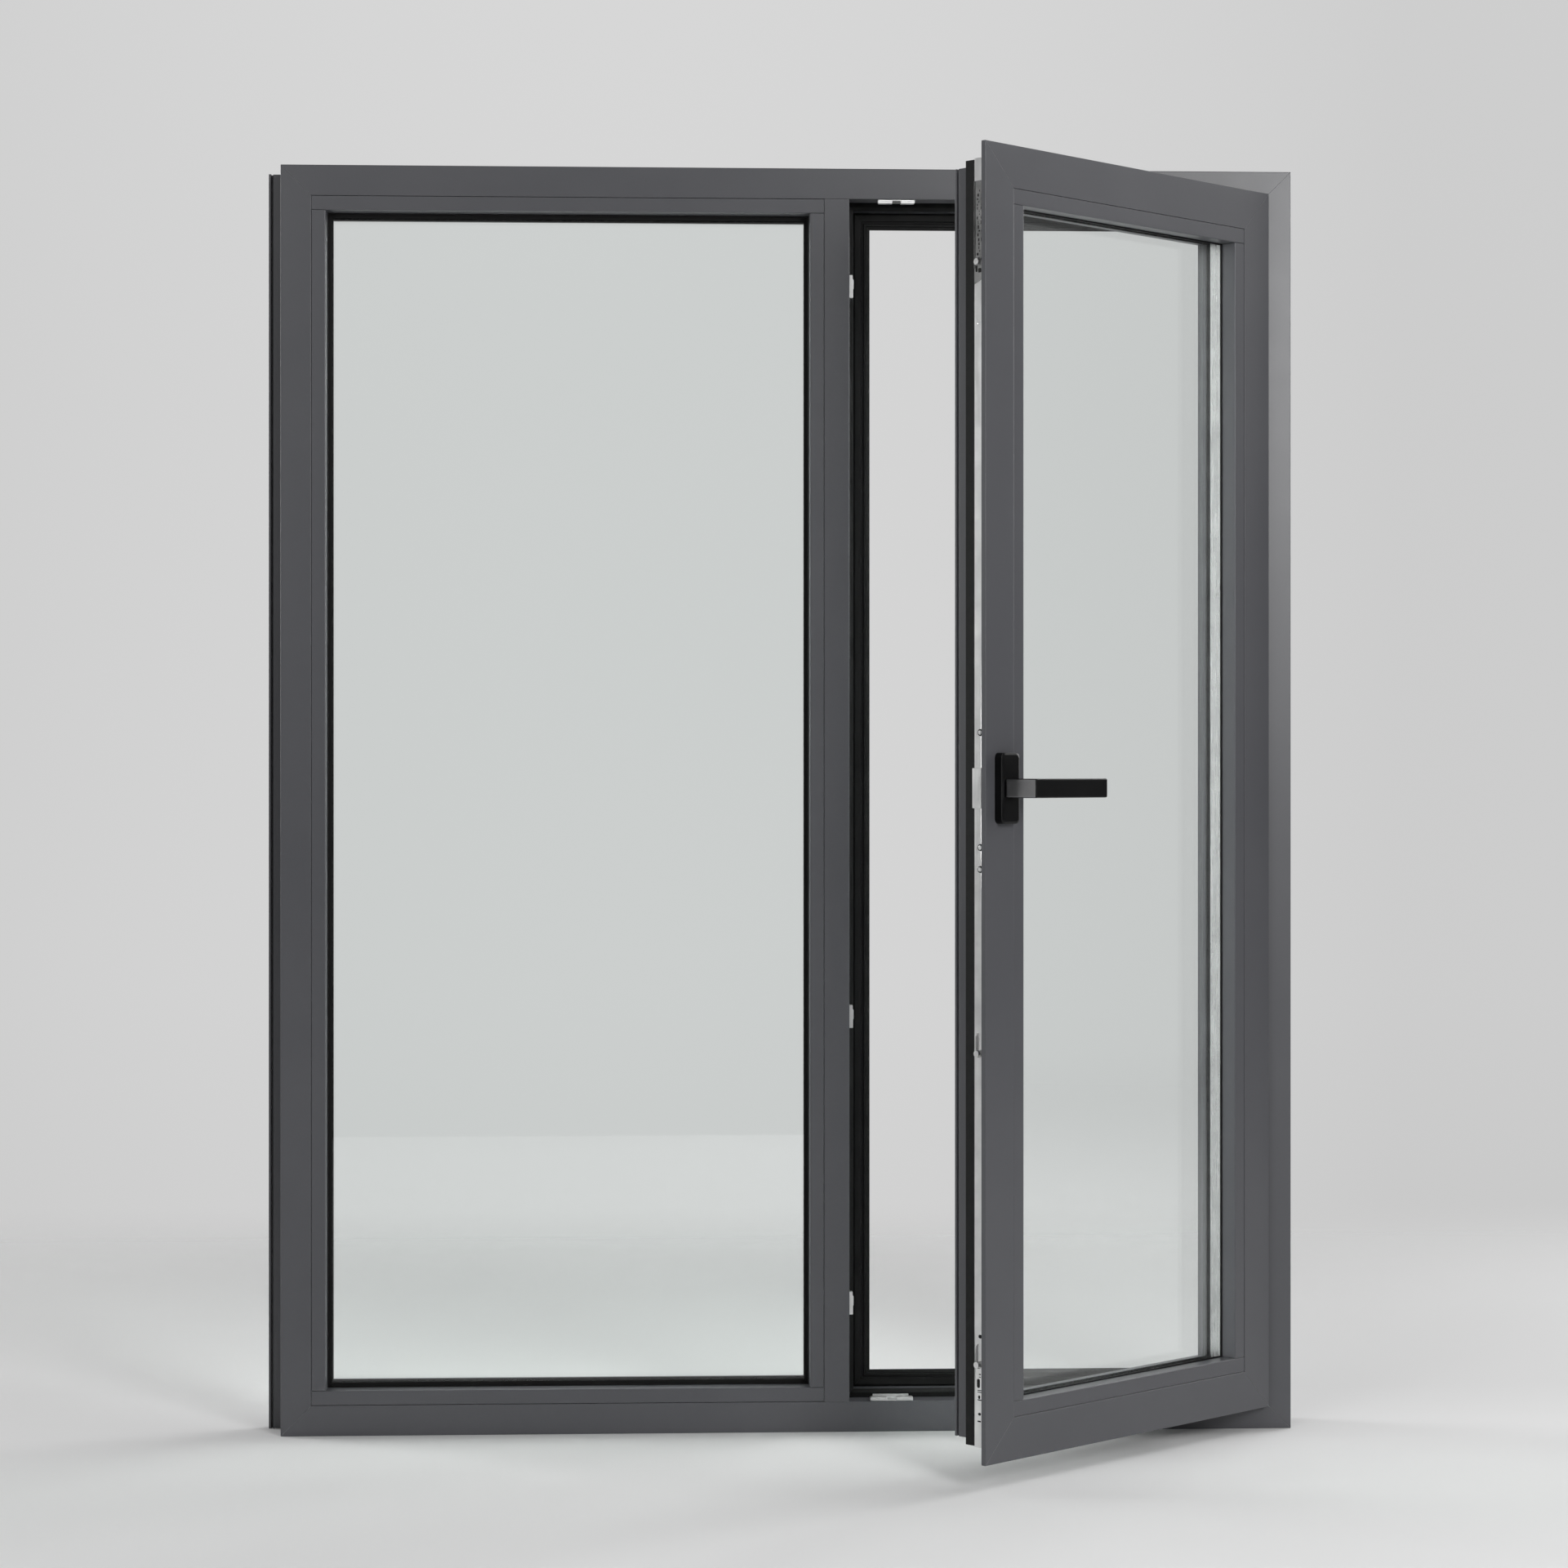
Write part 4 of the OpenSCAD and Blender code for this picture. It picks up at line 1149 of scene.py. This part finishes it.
# %% Mullion keepers
keeper_low, keeper_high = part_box("mullion_keepers")
lip_y0 = keeper_low.y
plate_depth = keeper_high.y - lip_y0
lip_depth = 8.3 * MM
plate_t = 1.3 * MM
wall_x = keeper_low.x
keeper_w = 27 * MM
keeper_half = 13.5 * MM
low_end, high_end = keeper_low.z + 2 * keeper_w, keeper_high.z - 2 * keeper_w
points = [v.co.z for v in frame["nodes"]["mullion_keepers"].data.vertices]
inner_points = [z for z in points if low_end < z < high_end]
centres = [
    keeper_low.z + keeper_w / 2,
    (min(inner_points) + max(inner_points)) / 2,
    keeper_high.z - keeper_w / 2,
]
swell = rounded_outline(
    [
        (0, -keeper_half),
        (4.4 * MM, -keeper_half),
        (4.4 * MM, -3.6 * MM),
        (5.0 * MM, -2.4 * MM),
        (5.0 * MM, 7.6 * MM),
        (3.9 * MM, 9.0 * MM),
        (3.9 * MM, keeper_half),
        (0, keeper_half),
    ],
    mm(0.1, 0.7, 0.5, 0.5, 0.5, 0.5, 0.7, 0.1),
)
flat = box_outline(0, plate_t, -keeper_half, keeper_half, 0.3 * MM)
lip_levels = rolled_both(lip_y0, lip_y0 + lip_depth, 0.3 * MM, 2)
plate_levels = rolled_both(lip_y0 + lip_depth, lip_y0 + plate_depth, 0.3 * MM, 2)
bm = bmesh.new()
for z in centres:
    for outline, levels in ((swell, lip_levels), (flat, plate_levels)):
        add_stack(bm, outline, levels, lambda a, b, c: (wall_x + a, c, z + b))
    for up in (-8, 8):
        screw_on(bm, (wall_x + plate_t, lip_y0 + 16 * MM, z + up * MM), (1, 0, 0), (0, 1, 0))
mesh_piece(bm, "mullion_keeper_plates", "frame", "bright_steel", ["mullion_keepers"])
print("mullion keepers at", [round(z, 3) for z in centres])

# %% [markdown]
# The keepers on the head and sill lie flat. Each front is two ribbed halves with a slot for the
# cam between them, on a thin base plate.


# %% Head and sill keepers
def level_keeper(name, node_name, out, slot, tab):
    low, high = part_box(node_name)
    seat = low.z if out > 0 else high.z
    length = high.x - low.x
    half = (length - slot) / 2
    bm = bmesh.new()

    def place(a, b, c):
        return (low.x + a, c, seat + out * b)

    lip_h = 4.6 * MM
    lip = [(0, 0), (half, 0), (half, lip_h), (1.2 * MM, lip_h), (0, 3.6 * MM)]
    for turned in (False, True):
        corners = [(length - x, y) for x, y in reversed(lip)] if turned else lip
        front = rounded_outline(corners, 0.4 * MM)
        add_stack(bm, front, rolled_both(low.y + 0.6 * MM, low.y + lip_depth, 0.3 * MM, 2), place)
        start = length - half if turned else 0
        for b0, b1 in ((0.2 * MM, 2.1 * MM), (2.7 * MM, 4.4 * MM)):
            rib = box_outline(start + 0.4 * MM, start + half - 0.4 * MM, b0, b1, 0.3 * MM)
            rib_levels = [(low.y, 0.3 * MM), (low.y + 0.3 * MM, 0), (low.y + 1 * MM, 0)]
            add_stack(bm, rib, rib_levels, place)
    base = box_outline(0.5 * MM, length - 0.5 * MM, 0, plate_t, 0.3 * MM)
    add_stack(bm, base, rolled_both(low.y + 0.5 * MM, high.y, 0.3 * MM, 2), place)
    if tab:
        ridge = box_outline(4 * MM, length - 4 * MM, 0.5 * MM, tab, 0.8 * MM)
        add_stack(bm, ridge, rolled_both(high.y - 3 * MM, high.y - 0.5 * MM, 0.4 * MM, 2), place)
    for x in (9 * MM, length - 9 * MM):
        screw_on(bm, place(x, plate_t, low.y + 14 * MM), (0, 0, out), (1, 0, 0))
    mesh_piece(bm, name, "frame", "bright_steel", [node_name])


level_keeper("head_keeper_plate", "head_keeper", -1, 10 * MM, 0)
level_keeper("sill_keeper_plate", "sill_keeper", 1, 11 * MM, 4.8 * MM)
print("keepers on head and sill")

# %% [markdown]
# ## The lock edge
# The channel on the sash's free edge carries the fittings. At its corners are die-cast drives
# full of small pockets and lugs, and between them a bright face with screw rings, punched
# slots and a packing block beside the handle. Random lug sizes look cast and not drawn.

# %% Packing block and screws
plate_low, plate_high = shut_box("lock_faceplate")
skin_x = plate_low.x
edge_y0, edge_y1 = plate_low.y, plate_high.y
BLOCK_PROUD = 2.6 * MM
RING_R, RING_PROUD = 3.8 * MM, 1.5 * MM
BUTTON_R, BUTTON_PROUD = 2.5 * MM, 1.9 * MM
SCREWS_FROM_HANDLE = (-89, -65, 61)


def on_edge(a, b, c):
    return (skin_x - c, a, b)


bm = bmesh.new()
block_low, block_high = shut_box("forend_block")
body = box_outline(block_low.y + 0.3 * MM, block_high.y, block_low.z, block_high.z, 0.8 * MM)
add_stack(bm, body, rolled(0, BLOCK_PROUD, 0.5 * MM, 3), on_edge)
block_screw = on_edge(edge_y0 + 4 * MM, block_high.z - 11 * MM, BLOCK_PROUD)
screw_on(bm, block_screw, (-1, 0, 0), (0, 1, 0), 1.6 * MM, 0.2 * MM)
mesh_piece(bm, "packing_block", "sash", "bright_steel", ["forend_block"], swung_out)

shade_ring_bm, button_bm = bmesh.new(), bmesh.new()
for up in SCREWS_FROM_HANDLE:
    centre = (edge_y0 + 3.2 * MM, axis.z + up * MM)
    outer = round_outline(centre[0], centre[1], RING_R, 24)
    add_stack(shade_ring_bm, outer, rolled(0, RING_PROUD, 0.6 * MM, 3), on_edge)
    inner = round_outline(centre[0], centre[1], BUTTON_R, 24)
    add_stack(button_bm, inner, rolled(1.4 * MM, BUTTON_PROUD, 0.45 * MM, 3), on_edge)
# The dark ring round each bright button is painted shade round the screw head
rings = mesh_piece(shade_ring_bm, "screw_rings", "sash", "bright_steel", (), swung_out)
rings.data.materials[0] = dark_oxide
mesh_piece(button_bm, "screw_buttons", "sash", "bright_steel", (), swung_out)
print("packing block and", len(SCREWS_FROM_HANDLE), "screws")

# %% [markdown]
# The corner drive is a thin casting over the top of the channel, with a raised rim along its
# outer edge, and lugs and pits of random height in a column.

# %% Top corner drive
CAST_T = 0.5 * MM
LUG_FOOT = 0.4 * MM
PIT_LEVELS = [(0.45 * MM, 0), (0.6 * MM, 0.1 * MM)]
random.seed(7)
cast_top, cast_end = plate_high.z + 112 * MM, plate_high.z + 4 * MM
bm = bmesh.new()
body = rounded_outline(
    [
        (edge_y0 + 0.2 * MM, cast_end),
        (edge_y1 - 0.2 * MM, cast_end - 5 * MM),
        (edge_y1 - 0.2 * MM, cast_top),
        (edge_y0 + 0.2 * MM, cast_top),
    ],
    0.4 * MM,
)
add_stack(bm, body, rolled(0, CAST_T, 0.2 * MM, 2), on_edge)
rim = box_outline(edge_y1 - 1.2 * MM, edge_y1 - 0.3 * MM, cast_end + 12 * MM, cast_top, 0.2 * MM)
add_stack(bm, rim, rolled(LUG_FOOT, 1.1 * MM, 0.2 * MM, 2), on_edge)
pocket_bm = bmesh.new()
z = cast_end + 16 * MM
while z < cast_top - 12 * MM:
    tall = random.uniform(1.2, 4.2) * MM
    inner_edge = edge_y0 + random.uniform(0.4, 2.4) * MM
    outer_edge = inner_edge + random.uniform(1.8, 4.6) * MM
    lug = box_outline(inner_edge, outer_edge, z, z + tall, 0.3 * MM)
    add_stack(bm, lug, rolled(LUG_FOOT, random.uniform(0.8, 1.5) * MM, 0.25 * MM, 2), on_edge)
    pit_start, pit_end = outer_edge + 0.4 * MM, outer_edge + random.uniform(1.5, 3.2) * MM
    pit = box_outline(pit_start, pit_end, z, z + tall, 0.3 * MM)
    add_stack(pocket_bm, pit, PIT_LEVELS, on_edge)
    z += tall + random.uniform(0.5, 2.2) * MM
casting = mesh_piece(bm, "top_drive_casting", "sash", "bright_steel", (), swung_out)
casting.data.materials[0] = cast_zinc
print("corner drive from", round(cast_end, 3), "to", round(cast_top, 3))

# %% [markdown]
# The pockets and slots are thin black plates on the castings and on the bright face below the
# handle, painted shade where the holes are. Each row of the second table is one slot: its middle
# height and how tall it is, then where it starts and ends across the edge, all in millimetres.

# %% Pockets and slots
CAST_HOLE_LEVELS = [(0.45 * MM, 0), (0.62 * MM, 0.1 * MM)]
SLOT_LEVELS = [(0.0, 0), (0.12 * MM, 0.05 * MM)]
ROUND_ENDS = 0.45
for a0, a1, z0, z1 in (
    (2.0, 6.5, cast_end + 7 * MM, cast_end + 12 * MM),
    (7.5, 10.5, cast_end + 8 * MM, cast_end + 15 * MM),
):
    hole = box_outline(edge_y0 + a0 * MM, edge_y0 + a1 * MM, z0, z1, 1.0 * MM)
    add_stack(pocket_bm, hole, CAST_HOLE_LEVELS, on_edge)
for z, tall, a0, a1 in (
    (165.1, 4, 1.5, 6.5),
    (123.6, 1.2, 3, 6),
    (120.6, 0.8, 3, 6),
    (113.5, 10, 4.5, 8.8),
    (106.0, 1.0, 2, 8),
    (104.0, 1.0, 2, 8),
    (98.5, 4.0, 4, 7),
    (95.5, 1.2, 2, 8),
    (80.0, 3.0, 3, 7),
    (72.0, 1.6, 3, 8),
):
    hole = box_outline(
        edge_y0 + a0 * MM,
        edge_y0 + a1 * MM,
        (z - tall / 2) * MM,
        (z + tall / 2) * MM,
        min(tall, a1 - a0) * ROUND_ENDS * MM,
    )
    add_stack(pocket_bm, hole, SLOT_LEVELS, on_edge)
pockets = mesh_piece(pocket_bm, "drive_pockets", "sash", "bright_steel", (), swung_out)
pockets.data.materials[0] = dark_oxide
print("pockets and slots cut dark")

# %% [markdown]
# ## Softly broken edges on the small fittings
# Plates, arms, rods and strips keep their solids. Their corners are split in the file, so a
# weld comes first, and then a small bevel rounds every real edge.


# %% Broken edges
WELD_REACH = 0.01 * MM
EDGE_BREAK = 0.25 * MM


def broken_edges(node_name):
    node = frame["nodes"][node_name]
    weld = node.modifiers.new("weld", "WELD")
    weld.merge_threshold = WELD_REACH
    bevel = node.modifiers.new("broken_edge", "BEVEL")
    bevel.width = EDGE_BREAK
    bevel.segments = 2
    bevel.limit_method = "ANGLE"
    bevel.angle_limit = math.radians(35)
    bevel.use_clamp_overlap = True


for node_name in sorted(node_slot):
    if node_slot[node_name] in ("bright_steel", "black_handle", "insulating_strip"):
        if not frame["nodes"][node_name].hide_render:
            broken_edges(node_name)
print("edges broken")
